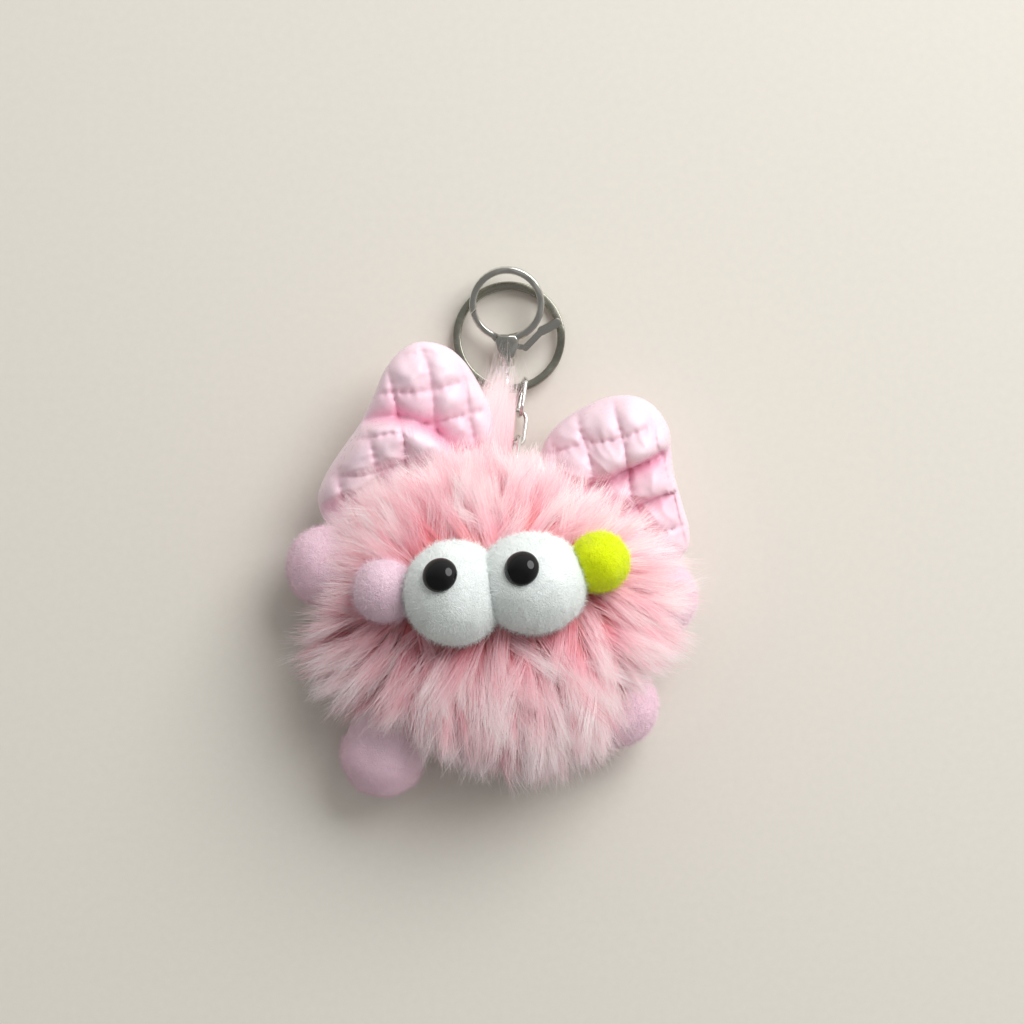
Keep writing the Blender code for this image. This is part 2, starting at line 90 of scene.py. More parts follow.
# The right eye is pulled out sideways, and its seam with the left one lies off their middle.
EYE_STRETCH = 1.09
SEAM_SHIFT = {"eye_left": -1.7, "eye_right": 1.9}
# Each safety eye: the felt eye that it sits on and the direction that it looks in
PUPILS = {
    "pupil_left": ("eye_left", (-0.30, 0.40, 1.0)),
    "pupil_right": ("eye_right", (-0.32, 0.33, 1.0)),
}
PUPIL_RADIUS = 4.55
PUPIL_RISE = 3.0
SHANK_RADIUS = 1.2
SHANK_LENGTH = 5.8

# Hands and feet: the ends of each round-ended limb's middle line and its radius
LIMB_SHAPES = {
    "hand_left": ((-41.6, -9.7, 16.0), (-34.4, -13.1, 17.0), 11.0),
    "hand_right": ((44.6, -17.9, 12.5), (36.6, -19.1, 15.0), 10.6),
    "foot_left": ((-27.4, -59.2, 12.2), (-20.4, -42.6, 14.0), 11.1),
    "foot_right": ((34.4, -46.5, 12.0), (25.6, -37.6, 14.0), 10.6),
}
BALL_DETAIL = 5
FUZZ_LENGTH = 1.25
FUZZ_WIDTH = 0.07
FUZZ_ON_EYE, FUZZ_ON_SMALL_BALL, FUZZ_ON_LIMB = 16000, 8000, 11000

# Fur
FUR_PARTS = 8
# The pile lets most of the light through, so only the first parts cast a shadow.
FUR_PARTS_WITH_SHADOW = 2
# A piece stays under 200,000 triangles.
STRANDS_IN_PIECE = 19900
STRAND_ROWS = 6
TUFT_STRANDS = 3600
TUFT_ROWS = 7
# Strands that grow above this height lie over the ears, the others under them.
OVER_EAR_HEIGHT = 17.0
# The line through the eyes along which the pile is parted, and the middle that it spreads from
ROW_LEFT, ROW_RIGHT = (-17.0, -15.5), (22.0, -11.0)
FACE_MIDDLE = (2.0, -14.0)
# How far the pile reaches from the body's middle, by direction in degrees from +x
PILE_REACH = [
    (0, 53), (10, 51.5), (28, 45.5), (45, 41.5), (65, 39.5), (90, 42.5), (117, 45), (134, 50), (151, 50),
    (166, 44.5), (185, 52.5), (194, 56), (204, 51.5), (215, 49.5), (229, 40), (246, 40.5), (263, 41),
    (281, 45), (302, 46), (312, 45.5), (324, 40), (336, 41), (344, 47), (348, 51.5), (357, 53),
]

# Ears, in each ear's own plane: x along the sewn edge, y out to the tip
EAR_RISE = math.radians(12.0)
EARS = {
    "ear_left": {
        "outline": [
            (-19, -5), (-23.5, 2), (-23, 10), (-18, 15.2), (-9.8, 19.8), (-3.8, 22.8), (2.2, 27.0),
            (9.0, 32.4), (15.0, 35.0), (20.6, 34.8), (26.0, 30.6), (28.6, 24.6), (29.2, 17.0),
            (28.6, 9.6), (26.4, 2.0), (22, -5), (0, -6.5),
        ],
        "folds": [
            ([(-5.7, 24.0), (3.6, 21.5), (9.5, 17.4), (13.8, 10.0), (15.1, 1.0)], 6.2, 5.4, 1),
            ([(-22, 9), (-10, 8.5), (0, 10.5), (8, 6)], 1.6, 1.8, -1),
        ],
        "quilt_turn": -18.0,
    },
    "ear_right": {
        "outline": [
            (-18, -5), (-22.8, 2), (-23.4, 9.6), (-20.8, 17.6), (-17.2, 23.9), (-12.2, 28.2),
            (-6.2, 29.4), (0.2, 27.3), (4.6, 22.8), (8.6, 18.6), (15.0, 13.6), (21.2, 8.8),
            (24.0, 3.6), (21.0, -4.0), (0, -6.5),
        ],
        "folds": [
            ([(-12.5, -3.0), (-4.5, 6.9), (-0.4, 15.0), (3.8, 24.0)], 3.8, 4.0, -1),
            ([(1.0, -1.5), (3.6, 3.0), (7.0, 8.0), (10.4, 13.2)], 3.0, 3.2, -1),
        ],
        "quilt_turn": 52.0,
    },
}
EAR_THICKNESS = 13.0
EAR_AROUND = 200
EAR_ROWS = 44

# Chain, ring and clasp
LINK_LENGTH = 11.4
LINK_BEND = 2.35
LINK_WIRE = 0.6
HOOK_REACH = 1.5
LINKS = {
    "chain_link_3": ("chain_root_swing", "chain_middle_swing", "link_3"),
    "chain_link_2": ("chain_middle_swing", "chain_end_swing", "link_2"),
    "chain_link_1": ("chain_end_swing", "ring_lift", "link_1"),
}
RING_RADIUS = 13.95
RING_STEP = 1.1
RING_WIRE_WIDTH, RING_WIRE_HEIGHT = 2.1, 0.98
# In degrees: where the ring's wire starts and ends, and where and over how far it steps up
RING_ENDS = (14, 687)
STEP_START, STEP_RUN = 330, 42
METAL_NODES = {
    "clasp_body": "nickel", "clasp_gate": "nickel", "gate_pin": "nickel", "gate_spring": "silver",
    "swivel_eye": "silver",
}
EASED_EDGE = 0.22

# Stage, in metres
CAMERA_PLACE = (0.00657, 0.00484, 0.9)
VIEW_WIDTH = 0.275
SENSOR_WIDTH = 36.0
WINDOW_PLACE = (0.5, 0.6, 0.75)
WINDOW_SIZE = 0.8
WINDOW_POWER = 9.0
TABLE_HALF_WIDTH = 3.0


class PlushSettings(bpy.types.PropertyGroup):
    """Sizes and colours of the soft parts and the metal."""

    fur_length: FloatProperty(
        name="Fur length", description="Length of the longest pile",
        default=0.025, min=0.005, max=0.06, unit="LENGTH",
    )
    fur_strands: IntProperty(
        name="Strands", description="Strands in each of the fur's eight parts",
        default=18500, min=500, max=19500,
    )
    fur_locks: IntProperty(
        name="Locks", description="Locks that the pile gathers into", default=1700, min=50, max=5000,
    )
    strand_width: FloatProperty(
        name="Strand width", description="Width of a strand at its root",
        default=0.00014, min=0.00005, max=0.001, unit="LENGTH",
    )
    root_colour: FloatVectorProperty(
        name="Root colour", description="Fur next to the backing", subtype="COLOR",
        default=(0.95, 0.25, 0.25), min=0, max=1,
    )
    pile_colour: FloatVectorProperty(
        name="Pile colour", description="Fur half way up", subtype="COLOR",
        default=(0.97, 0.50, 0.57), min=0, max=1,
    )
    tip_colour: FloatVectorProperty(
        name="Tip colour", description="Ends of the fur", subtype="COLOR",
        default=(1.0, 0.90, 0.90), min=0, max=1,
    )
    satin_colour: FloatVectorProperty(
        name="Satin colour", description="Quilted ears", subtype="COLOR",
        default=(0.97, 0.76, 0.84), min=0, max=1,
    )
    # Painted shade: the satin's colour down in its seams and folds is a deeper pink that stands in for the
    # shade falling into these creases.
    crease_shade_colour: FloatVectorProperty(
        name="Crease colour", description="Satin down in its seams and folds", subtype="COLOR",
        default=(0.90, 0.38, 0.54), min=0, max=1,
    )
    eye_colour: FloatVectorProperty(
        name="Eye colour", description="White felt", subtype="COLOR",
        default=(0.92, 0.97, 0.955), min=0, max=1,
    )
    limb_colour: FloatVectorProperty(
        name="Limb colour", description="Lilac felt of hands and feet", subtype="COLOR",
        default=(0.96, 0.70, 0.81), min=0, max=1,
    )
    pink_colour: FloatVectorProperty(
        name="Pink ball", description="Small pink felt ball", subtype="COLOR",
        default=(0.92, 0.70, 0.80), min=0, max=1,
    )
    yellow_colour: FloatVectorProperty(
        name="Yellow ball", description="Small yellow felt ball", subtype="COLOR",
        default=(0.82, 0.93, 0.01), min=0, max=1,
    )
    quilt_pitch: FloatProperty(
        name="Quilt pitch", description="Spacing of the quilting lines",
        default=0.0092, min=0.003, max=0.03, unit="LENGTH",
    )


def settings():
    return bpy.context.scene.plush


def box_mm(node):
    low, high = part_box(node)
    return np.array(low) / MM, np.array(high) / MM


def joint(name):
    for item in frame["record"]["behaviour"]["joints"]:
        if item["name"] == name:
            return Vector(item["pos_m"]) / MM, Vector(item["axis"]).normalized()
    raise RuntimeError("no joint " + name)


def body_shape():
    """Centre and radii of the pelt: its widest section lies below its top by its half height."""
    low, high = box_mm("fur_pelt")
    centre = (low + high) / 2
    radii = (high - low) / 2
    radii[2] = BODY_HALF_HEIGHT
    centre[2] = high[2] - BODY_HALF_HEIGHT
    return centre, radii


def add_piece(name, mesh, mat, body=None, node=None):
    """Links a finished mesh in metres, rides it on a body and lets it stand for a CAD node."""
    ob = bpy.data.objects.new(name, mesh)
    bpy.context.scene.collection.objects.link(ob)
    mesh.materials.clear()
    mesh.materials.append(mat)
    if body:
        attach(ob, body)
    if node:
        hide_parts(node)
    return ob


def mesh_from_bmesh(name, bm, scale=MM):
    bmesh.ops.scale(bm, vec=(scale,) * 3, verts=bm.verts)
    mesh = bpy.data.meshes.new(name)
    bm.to_mesh(mesh)
    bm.free()
    mesh.shade_smooth()
    return mesh


# ---------------------------------------------------------------- materials


FLOAT, COLOUR = "NodeSocketFloat", "NodeSocketColor"


def group_tree(name, inputs, outputs):
    """An empty node group with its sockets, its input node and its output node."""
    tree = bpy.data.node_groups.new(name, "ShaderNodeTree")
    for label, kind, value in inputs:
        socket = tree.interface.new_socket(label, in_out="INPUT", socket_type=kind)
        socket.default_value = value
    for label, kind in outputs:
        tree.interface.new_socket(label, in_out="OUTPUT", socket_type=kind)
    start = tree.nodes.new("NodeGroupInput")
    end = tree.nodes.new("NodeGroupOutput")
    return tree, start, end


def put(tree, kind, **values):
    """Adds a node and sets its attributes."""
    node = tree.nodes.new(kind)
    for key, value in values.items():
        setattr(node, key, value)
    return node


def remap(tree, source, low, high, from_low=0.3, from_high=0.7):
    node = put(tree, "ShaderNodeMapRange")
    node.inputs["From Min"].default_value = from_low
    node.inputs["From Max"].default_value = from_high
    tree.links.new(source, node.inputs["Value"])
    for socket, value in (("To Min", low), ("To Max", high)):
        if isinstance(value, (int, float)):
            node.inputs[socket].default_value = value
        else:
            tree.links.new(value, node.inputs[socket])
    return node.outputs["Result"]


def mottle_group():
    """A soft variation of a value over the surface."""
    name = "Mottle"
    if name in bpy.data.node_groups:
        return bpy.data.node_groups[name]
    inputs = [("Scale", FLOAT, 60.0), ("Low", FLOAT, 0.9), ("High", FLOAT, 1.0)]
    tree, start, end = group_tree(name, inputs, [("Value", FLOAT)])
    place = put(tree, "ShaderNodeTexCoord")
    cloud = put(tree, "ShaderNodeTexNoise")
    cloud.inputs["Detail"].default_value = 3.0
    tree.links.new(place.outputs["Object"], cloud.inputs["Vector"])
    tree.links.new(start.outputs["Scale"], cloud.inputs["Scale"])
    value = remap(tree, cloud.outputs[0], start.outputs["Low"], start.outputs["High"])
    tree.links.new(value, end.inputs["Value"])
    return tree


def fibre_group():
    """Matted fibres: stretched noise at two scales."""
    name = "Felt fibre"
    if name in bpy.data.node_groups:
        return bpy.data.node_groups[name]
    tree, start, end = group_tree(name, [("Scale", FLOAT, 900.0)], [("Height", FLOAT)])
    place = put(tree, "ShaderNodeTexCoord")
    coarse = put(tree, "ShaderNodeTexNoise")
    coarse.inputs["Detail"].default_value = 6.0
    coarse.inputs["Distortion"].default_value = 1.5
    web = put(tree, "ShaderNodeTexVoronoi", feature="DISTANCE_TO_EDGE")
    for node in (coarse, web):
        tree.links.new(place.outputs["Object"], node.inputs["Vector"])
        tree.links.new(start.outputs["Scale"], node.inputs["Scale"])
    both = put(tree, "ShaderNodeMath", operation="MULTIPLY_ADD")
    both.inputs[1].default_value = 0.5
    tree.links.new(web.outputs["Distance"], both.inputs[0])
    tree.links.new(coarse.outputs[0], both.inputs[2])
    tree.links.new(both.outputs[0], end.inputs["Height"])
    return tree


def satin_group():
    """Fine crossed threads with the long floats of a satin."""
    name = "Satin weave"
    if name in bpy.data.node_groups:
        return bpy.data.node_groups[name]
    tree, start, end = group_tree(name, [("Scale", FLOAT, 2200.0)], [("Height", FLOAT)])
    place = put(tree, "ShaderNodeTexCoord")
    waves = []
    for direction in ("X", "Y"):
        wave = put(tree, "ShaderNodeTexWave", wave_type="BANDS", bands_direction=direction)
        wave.inputs["Distortion"].default_value = 0.6
        tree.links.new(place.outputs["Object"], wave.inputs["Vector"])
        tree.links.new(start.outputs["Scale"], wave.inputs["Scale"])
        waves.append(wave.outputs["Fac"])
    both = put(tree, "ShaderNodeMath", operation="MULTIPLY_ADD")
    both.inputs[1].default_value = 0.35
    tree.links.new(waves[0], both.inputs[0])
    tree.links.new(waves[1], both.inputs[2])
    tree.links.new(both.outputs[0], end.inputs["Height"])
    return tree


def wear_group():
    """Plated metal: cloudy roughness and hairline scratches."""
    name = "Plate wear"
    if name in bpy.data.node_groups:
        return bpy.data.node_groups[name]
    inputs = [("Scale", FLOAT, 250.0), ("Low", FLOAT, 0.15), ("High", FLOAT, 0.3)]
    tree, start, end = group_tree(name, inputs, [("Roughness", FLOAT), ("Height", FLOAT)])
    place = put(tree, "ShaderNodeTexCoord")
    stretch = put(tree, "ShaderNodeMapping")
    stretch.inputs["Scale"].default_value = (1.0, 9.0, 1.0)
    cloud = put(tree, "ShaderNodeTexNoise")
    cloud.inputs["Detail"].default_value = 4.0
    lines = put(tree, "ShaderNodeTexNoise")
    lines.inputs["Detail"].default_value = 2.0
    tree.links.new(place.outputs["Object"], cloud.inputs["Vector"])
    tree.links.new(place.outputs["Object"], stretch.inputs["Vector"])
    tree.links.new(stretch.outputs["Vector"], lines.inputs["Vector"])
    for node in (cloud, lines):
        tree.links.new(start.outputs["Scale"], node.inputs["Scale"])
    value = remap(tree, cloud.outputs[0], start.outputs["Low"], start.outputs["High"])
    tree.links.new(value, end.inputs["Roughness"])
    tree.links.new(lines.outputs[0], end.inputs["Height"])
    return tree


def strand_group():
    """Colour along a strand from root to tip, shaded a little from strand to strand."""
    name = "Strand colour"
    if name in bpy.data.node_groups:
        return bpy.data.node_groups[name]
    inputs = [(label, COLOUR, (1, 1, 1, 1)) for label in ("Root", "Pile", "Tip")]
    tree, start, end = group_tree(name, inputs, [("Colour", COLOUR)])
    along = put(tree, "ShaderNodeAttribute", attribute_name="along")
    tone = put(tree, "ShaderNodeAttribute", attribute_name="tone")
    lower = put(tree, "ShaderNodeMix", data_type="RGBA")
    upper = put(tree, "ShaderNodeMix", data_type="RGBA")
    tree.links.new(remap(tree, along.outputs["Fac"], 0.0, 1.0, 0.0, 0.38), lower.inputs["Factor"])
    tree.links.new(remap(tree, along.outputs["Fac"], 0.0, 1.0, 0.32, 1.0), upper.inputs["Factor"])
    tree.links.new(start.outputs["Root"], lower.inputs["A"])
    tree.links.new(start.outputs["Pile"], lower.inputs["B"])
    tree.links.new(lower.outputs["Result"], upper.inputs["A"])
    tree.links.new(start.outputs["Tip"], upper.inputs["B"])
    shade = put(tree, "ShaderNodeHueSaturation")
    tree.links.new(upper.outputs["Result"], shade.inputs["Color"])
    tree.links.new(remap(tree, tone.outputs["Fac"], 0.92, 1.04, 0.0, 1.0), shade.inputs["Value"])
    tree.links.new(remap(tree, tone.outputs["Fac"], 1.2, 0.75, 0.0, 1.0), shade.inputs["Saturation"])
    tree.links.new(shade.outputs["Color"], end.inputs["Colour"])
    return tree


def new_material(name, roughness=0.5, metallic=0.0, sheen=0.0):
    mat = bpy.data.materials.new(name)
    mat.use_nodes = True
    shader = mat.node_tree.nodes["Principled BSDF"]
    shader.inputs["Roughness"].default_value = roughness
    shader.inputs["Metallic"].default_value = metallic
    if sheen:
        shader.inputs["Sheen Weight"].default_value = sheen
        shader.inputs["Sheen Roughness"].default_value = 0.4
    return mat, mat.node_tree, shader


def place_group(tree, group, **values):
    node = put(tree, "ShaderNodeGroup", node_tree=group)
    for key, value in values.items():
        node.inputs[key].default_value = value
    return node


def bump_from(tree, height, shader, strength, distance):
    bump = put(tree, "ShaderNodeBump")
    bump.inputs["Strength"].default_value = strength
    bump.inputs["Distance"].default_value = distance
    tree.links.new(height, bump.inputs["Height"])
    tree.links.new(bump.outputs["Normal"], shader.inputs["Normal"])


def mottled_colour(tree, shader, colour, scale, low, high):
    """Base colour whose brightness drifts a little over the surface."""
    mottle = place_group(tree, mottle_group(), Scale=scale, Low=low, High=high)
    tint = put(tree, "ShaderNodeHueSaturation")
    if isinstance(colour, bpy.types.NodeSocket):
        tree.links.new(colour, tint.inputs["Color"])
    else:
        tint.inputs["Color"].default_value = (*colour, 1.0)
    tree.links.new(mottle.outputs["Value"], tint.inputs["Value"])
    tree.links.new(tint.outputs["Color"], shader.inputs["Base Color"])


def felt_material(name, colour, sheen=0.35):
    mat, tree, shader = new_material(name, roughness=0.95, sheen=sheen)
    shader.inputs["Specular IOR Level"].default_value = 0.15
    mottled_colour(tree, shader, colour, 220.0, 0.94, 1.03)
    fibre = place_group(tree, fibre_group(), Scale=1500.0)
    bump_from(tree, fibre.outputs["Height"], shader, 0.8, 0.0005)
    return mat


def fuzz_material(name, colour):
    mat, tree, shader = new_material(name, roughness=0.9)
    shader.inputs["Specular IOR Level"].default_value = 0.1
    mottled_colour(tree, shader, colour, 500.0, 0.97, 1.06)
    return mat


def fur_material(name):
    look = settings()
    mat, tree, shader = new_material(name, roughness=0.55, sheen=0.2)
    shader.inputs["Specular IOR Level"].default_value = 0.25
    colours = {
        "Root": (*look.root_colour, 1.0), "Pile": (*look.pile_colour, 1.0), "Tip": (*look.tip_colour, 1.0),
    }
    strand = place_group(tree, strand_group(), **colours)
    tree.links.new(strand.outputs["Colour"], shader.inputs["Base Color"])
    return mat


def satin_material():
    mat, tree, shader = new_material("quilted satin", roughness=0.3, sheen=0.4)
    shader.inputs["Sheen Roughness"].default_value = 0.3
    shader.inputs["Anisotropic"].default_value = 0.4
    # Painted shade: the satin colour is mixed towards the crease shade colour by how deep each point lies
    # in a fold or along a sewn line.
    crease_shade = put(tree, "ShaderNodeAttribute", attribute_name="crease_shade")
    satin_and_shade = put(tree, "ShaderNodeMix", data_type="RGBA")
    satin_and_shade.inputs["A"].default_value = (*settings().satin_colour, 1.0)
    satin_and_shade.inputs["B"].default_value = (*settings().crease_shade_colour, 1.0)
    tree.links.new(crease_shade.outputs["Fac"], satin_and_shade.inputs["Factor"])
    mottled_colour(tree, shader, satin_and_shade.outputs["Result"], 180.0, 0.96, 1.02)
    rough = place_group(tree, mottle_group(), Scale=900.0, Low=0.24, High=0.38)
    tree.links.new(rough.outputs["Value"], shader.inputs["Roughness"])
    weave = place_group(tree, satin_group(), Scale=1500.0)
    bump_from(tree, weave.outputs["Height"], shader, 0.18, 0.0001)
    return mat


def metal_material(name, colour, low, high):
    mat, tree, shader = new_material(name, metallic=1.0)
    mottled_colour(tree, shader, colour, 300.0, 0.92, 1.04)
    wear = place_group(tree, wear_group(), Scale=400.0, Low=low, High=high)
    tree.links.new(wear.outputs["Roughness"], shader.inputs["Roughness"])
    bump_from(tree, wear.outputs["Height"], shader, 0.08, 0.0001)
    return mat


# ---------------------------------------------------------------- strands


def unit(v):
    return v / np.maximum(np.linalg.norm(v, axis=-1, keepdims=True), 1e-9)


def strand_mesh(name, paths, facing, width, tone, rng, fade=None):
    """Flat tapered strands along paths of millimetre points, their flat sides facing outwards.

    Tone shifts a strand's colour as a whole, and fade says how far it gets towards the tip's colour.
    """
    count, rows = paths.shape[:2]
    share = np.linspace(0.0, 1.0, rows)
    tangent = unit(np.gradient(paths, axis=1))
    side = unit(np.cross(tangent, facing[:, None, :]))
    flat = np.cross(side, tangent)
    roll = rng.uniform(-0.9, 0.9, (count, 1, 1))
    side = side * np.cos(roll) + flat * np.sin(roll)
    half = (width[:, None] * (1.0 - 0.82 * share**1.4))[..., None] / 2
    verts = np.stack((paths - side * half, paths + side * half), axis=2).reshape(-1, 3) * MM
    first = np.arange(count)[:, None, None] * (2 * rows) + np.arange(rows - 1)[None, :, None] * 2
    faces = (first + np.array([0, 1, 3, 2])).reshape(-1, 4)
    mesh = bpy.data.meshes.new(name)
    mesh.from_pydata(verts.tolist(), [], faces.tolist())
    along = mesh.attributes.new("along", "FLOAT", "POINT")
    ripe = share[None] * (np.ones(count) if fade is None else fade)[:, None]
    along.data.foreach_set("value", np.repeat(ripe, 2, axis=1).ravel().astype(np.float32))
    shade = mesh.attributes.new("tone", "FLOAT", "POINT")
    shade.data.foreach_set("value", np.repeat(tone, 2 * rows).astype(np.float32))
    mesh.shade_smooth()
    soft = unit(facing[:, None, :] * 0.75 + flat * 0.45)
    mesh.normals_split_custom_set_from_vertices(np.repeat(soft, 2, axis=1).reshape(-1, 3).tolist())
    return mesh


def away_from_bar(points, start, end):
    """Steps to points from the nearest place on a straight bar."""
    start, end = np.array(start), np.array(end)
    run = end - start
    share = np.clip((points - start) @ run / max(run @ run, 1e-9), 0, 1)
    return points - (start + share[..., None] * run)


def push_out(points, shapes, margin):
    """Moves points that lie inside round-ended bars (start, end, radius) out to their surface."""
    for start, end, radius in shapes:
        away = away_from_bar(points, start, end)
        distance = np.linalg.norm(away, axis=-1)
        inside = distance < radius + margin
        scale = (radius + margin) / np.maximum(distance[inside], 1e-6)
        points[inside] += away[inside] * (scale - 1)[:, None]
    return points


def solid_shapes():
    """The felt balls, hands and feet that the pile lies around, each as a round-ended bar."""
    balls = [(centre, centre, radius) for centre, radius in FACE_BALLS.values()]
    return balls + list(LIMB_SHAPES.values())


def away_from_row(roots):
    """Level steps to each root from the row of eyes."""
    return away_from_bar(roots[:, :2], ROW_LEFT, ROW_RIGHT)


def comb_direction(roots):
    """The pile is parted along the row of eyes and combed away from it."""
    from_row = unit(away_from_row(roots))
    from_middle = unit(roots[:, :2] - np.array(FACE_MIDDLE))
    flat = unit(0.62 * from_row + 0.38 * from_middle)
    return np.column_stack((flat, np.zeros(len(flat))))


def grow(roots, normals, comb, length, lift, wave):
    """Carries each strand out along its normal, over towards its combed direction and down."""
    rows = STRAND_ROWS
    share = np.linspace(0.0, 1.0, rows)
    low_side = np.clip((20.0 - roots[:, 2]) / 20.0, 0, 1)[:, None]
    start = unit(normals * lift[:, None] + comb * 0.75)
    down = np.array([0.0, 0.0, -1.0])
    end = unit(comb + normals * (0.16 + 0.1 * lift[:, None]) + down * (0.42 - 0.2 * low_side))
    paths = np.empty((len(roots), rows, 3))
    paths[:, 0] = roots
    across = unit(np.cross(comb, normals) + 1e-6)
    for k in range(1, rows):
        t = share[k] ** 0.8
        direction = unit(start * (1 - t) + end * t + across * (wave * math.sin(2.2 * share[k]))[:, None])
        paths[:, k] = paths[:, k - 1] + direction * (length / (rows - 1))[:, None]
    return paths


class HeightGrid:
    """Top and bottom heights of a mesh on a grid of one-millimetre cells."""

    def __init__(self, points, reach=90):
        self.reach = reach
        size = 2 * reach
        self.top = np.full((size, size), -1e3)
        self.bottom = np.full((size, size), 1e3)
        for dx in (-0.5, 0.5):
            for dy in (-0.5, 0.5):
                i, j = self.cells(points + np.array([dx, dy, 0]))
                np.maximum.at(self.top, (i, j), points[:, 2])
                np.minimum.at(self.bottom, (i, j), points[:, 2])

    def cells(self, points):
        cell = np.clip(np.floor(points[..., :2]).astype(int) + self.reach, 0, 2 * self.reach - 1)
        return cell[..., 0], cell[..., 1]

    def drape(self, points, from_above):
        """Lays points over the shape, or keeps them under it where they start below it."""
        i, j = self.cells(points)
        top, bottom = self.top[i, j], self.bottom[i, j]
        height = points[..., 2]
        rise = np.where((top > -1e2) & from_above[:, None], np.maximum(top + 0.6 - height, 0), 0)
        fall = np.where((top > -1e2) & ~from_above[:, None], np.maximum(height - bottom + 0.4, 0), 0)
        for need, sign in ((rise, 1), (fall, -1)):
            shift = need.copy()
            for _ in range(8):
                shift[:, 1:-1] = np.maximum(need[:, 1:-1], (shift[:, :-2] + shift[:, 2:]) / 2)
                shift[:, -1] = np.maximum(need[:, -1], shift[:, -2])
            points[..., 2] += sign * shift
        return points

    def touches(self, points, reach=4.0):
        """Which strands lie close over or under the shape."""
        i, j = self.cells(points)
        top, bottom = self.top[i, j], self.bottom[i, j]
        height = points[..., 2]
        near = (np.abs(height - top) < reach) | (np.abs(height - bottom) < reach)
        return ((top > -1e2) & near).any(axis=1)


def lock_guides(rng, centre, radii):
    """Where each lock grows, spread evenly over the body, and the normal there."""
    count = settings().fur_locks
    spin = math.pi * (3 - math.sqrt(5))
    index = np.arange(count)
    height = 1 - 2 * (index + 0.5) / count
    ring = np.sqrt(1 - height**2)
    sphere = np.column_stack((ring * np.cos(spin * index), ring * np.sin(spin * index), height))
    sphere = unit(sphere + rng.normal(0, 0.035, sphere.shape))
    roots = centre + sphere * radii
    return roots, unit(sphere / radii)


def pile_length(roots, rng):
    """The pile is longest below the face and at the sides, and shorter over the brow."""
    full = settings().fur_length / MM
    below = np.clip((-14.0 - roots[:, 1]) / 25.0, 0, 1)
    wide = np.clip(np.abs(roots[:, 0] - 2) / 36.0, 0, 1)
    brow = np.clip((roots[:, 1] + 12.0) / 20.0, 0, 1)
    share = 0.80 + 0.06 * below + 0.10 * wide - 0.06 * brow
    return full * share * rng.uniform(0.75, 1.06, len(roots))


def guide_paths(rng, centre, radii):
    """One middle line for each lock, combed away from the face with some drift and whirls."""
    guide_roots, guide_normals = lock_guides(rng, centre, radii)
    drift = np.array([noise.noise(Vector(p) * 0.075) for p in guide_roots])
    whirl = np.array([noise.noise(Vector(p) * 0.19 + Vector((40, 0, 0))) for p in guide_roots])
    turn = 1.0 * drift + 1.15 * whirl + rng.normal(0, 0.22, len(guide_roots))
    comb = comb_direction(guide_roots)
    cosine, sine = np.cos(turn), np.sin(turn)
    comb[:, :2] = np.column_stack((
        comb[:, 0] * cosine - comb[:, 1] * sine, comb[:, 0] * sine + comb[:, 1] * cosine,
    ))
    guide_length = pile_length(guide_roots, rng)
    near_row = np.exp(-((guide_roots[:, 1] + 14) / 14.0) ** 2) * (guide_roots[:, 2] > 28)
    lift = 0.75 + 0.5 * near_row + rng.normal(0, 0.12, len(guide_roots))
    wave = 0.9 * drift + rng.normal(0, 0.2, len(guide_roots))
    return grow(guide_roots, guide_normals, comb, guide_length, lift, wave)


def gathered(roots, guides, lock, rng):
    """Strands that follow their lock's middle line and lean in on it, with frizz and strays."""
    count = len(roots)
    share = np.linspace(0, 1, STRAND_ROWS)[None, :, None]
    scale = rng.uniform(0.72, 1.08, (count, 1, 1))
    own = roots[:, None] + (guides[lock] - guides[lock][:, :1]) * scale
    gather = rng.uniform(0.05, 0.62, (count, 1, 1)) * share**1.3
    paths = own * (1 - gather) + guides[lock] * gather
    frizz = rng.normal(0, 1.25, (count, 1, 3)) * share**1.5
    frizz = frizz + rng.normal(0, 1.3, (count, 1, 3)) * share * (1 - share)
    strays = (rng.random(count) < 0.07)[:, None, None]
    stray = strays * rng.normal(0, 3.0, (count, 1, 3)) * share**1.4
    return paths + (frizz + stray)


def keep_outside(paths, centre, radii):
    """Lifts points out of the body and off the floor."""
    inside = (paths - centre) / radii
    depth = np.linalg.norm(inside, axis=-1, keepdims=True)
    paths = np.where(depth < 0.99, centre + inside / np.maximum(depth, 1e-6) * radii * 0.99, paths)
    paths[..., 2] = np.maximum(paths[..., 2], 0.25)
    return paths


def fur_paths(count, rng, ear_grids):
    """Every strand's path, the way that it faces, its tone and how far it fades to the tip's colour."""
    centre, radii = body_shape()
    guides = guide_paths(rng, centre, radii)
    sphere = unit(rng.normal(size=(int(count * 1.35), 3)))
    sphere = sphere[(sphere[:, 2] > -0.93)][:count]
    roots = centre + sphere * radii * 0.985
    normals = unit(sphere / radii)
    lock = nearest_lock(roots, guides[:, 0])
    keep = clear_of_balls(roots)
    roots, normals, lock = roots[keep], normals[keep], lock[keep]
    paths = gathered(roots, guides, lock, rng)
    uneven = np.clip(rng.normal(1.0, 0.055, len(guides)), 0.86, 1.1)[lock]
    paths = trim(paths, centre, uneven, rng)
    paths = push_out(paths, solid_shapes(), 0.25)
    for grid in ear_grids:
        paths = grid.drape(paths, roots[:, 2] > OVER_EAR_HEIGHT)
    paths = keep_outside(paths, centre, radii)
    tone = np.clip(0.5 + rng.normal(0, 0.2, len(roots)) + rng.normal(0, 0.26, len(guides))[lock], 0, 1)
    fade = rng.uniform(0.8, 1.15, len(roots)) * rng.uniform(0.62, 1.35, len(guides))[lock]
    row_gap = np.linalg.norm(away_from_row(roots), axis=1)
    fade *= 1 - 0.12 * np.clip((15.5 - row_gap) / 4.0, 0, 1) * (roots[:, 2] > 24.0)
    upward = np.where(roots[:, 2] > 8.0, 1.15, -0.4)
    facing = unit(normals + upward[:, None] * np.array([0.0, 0.0, 1.0]))
    return paths, facing, tone, np.clip(fade, 0.3, 1.3)


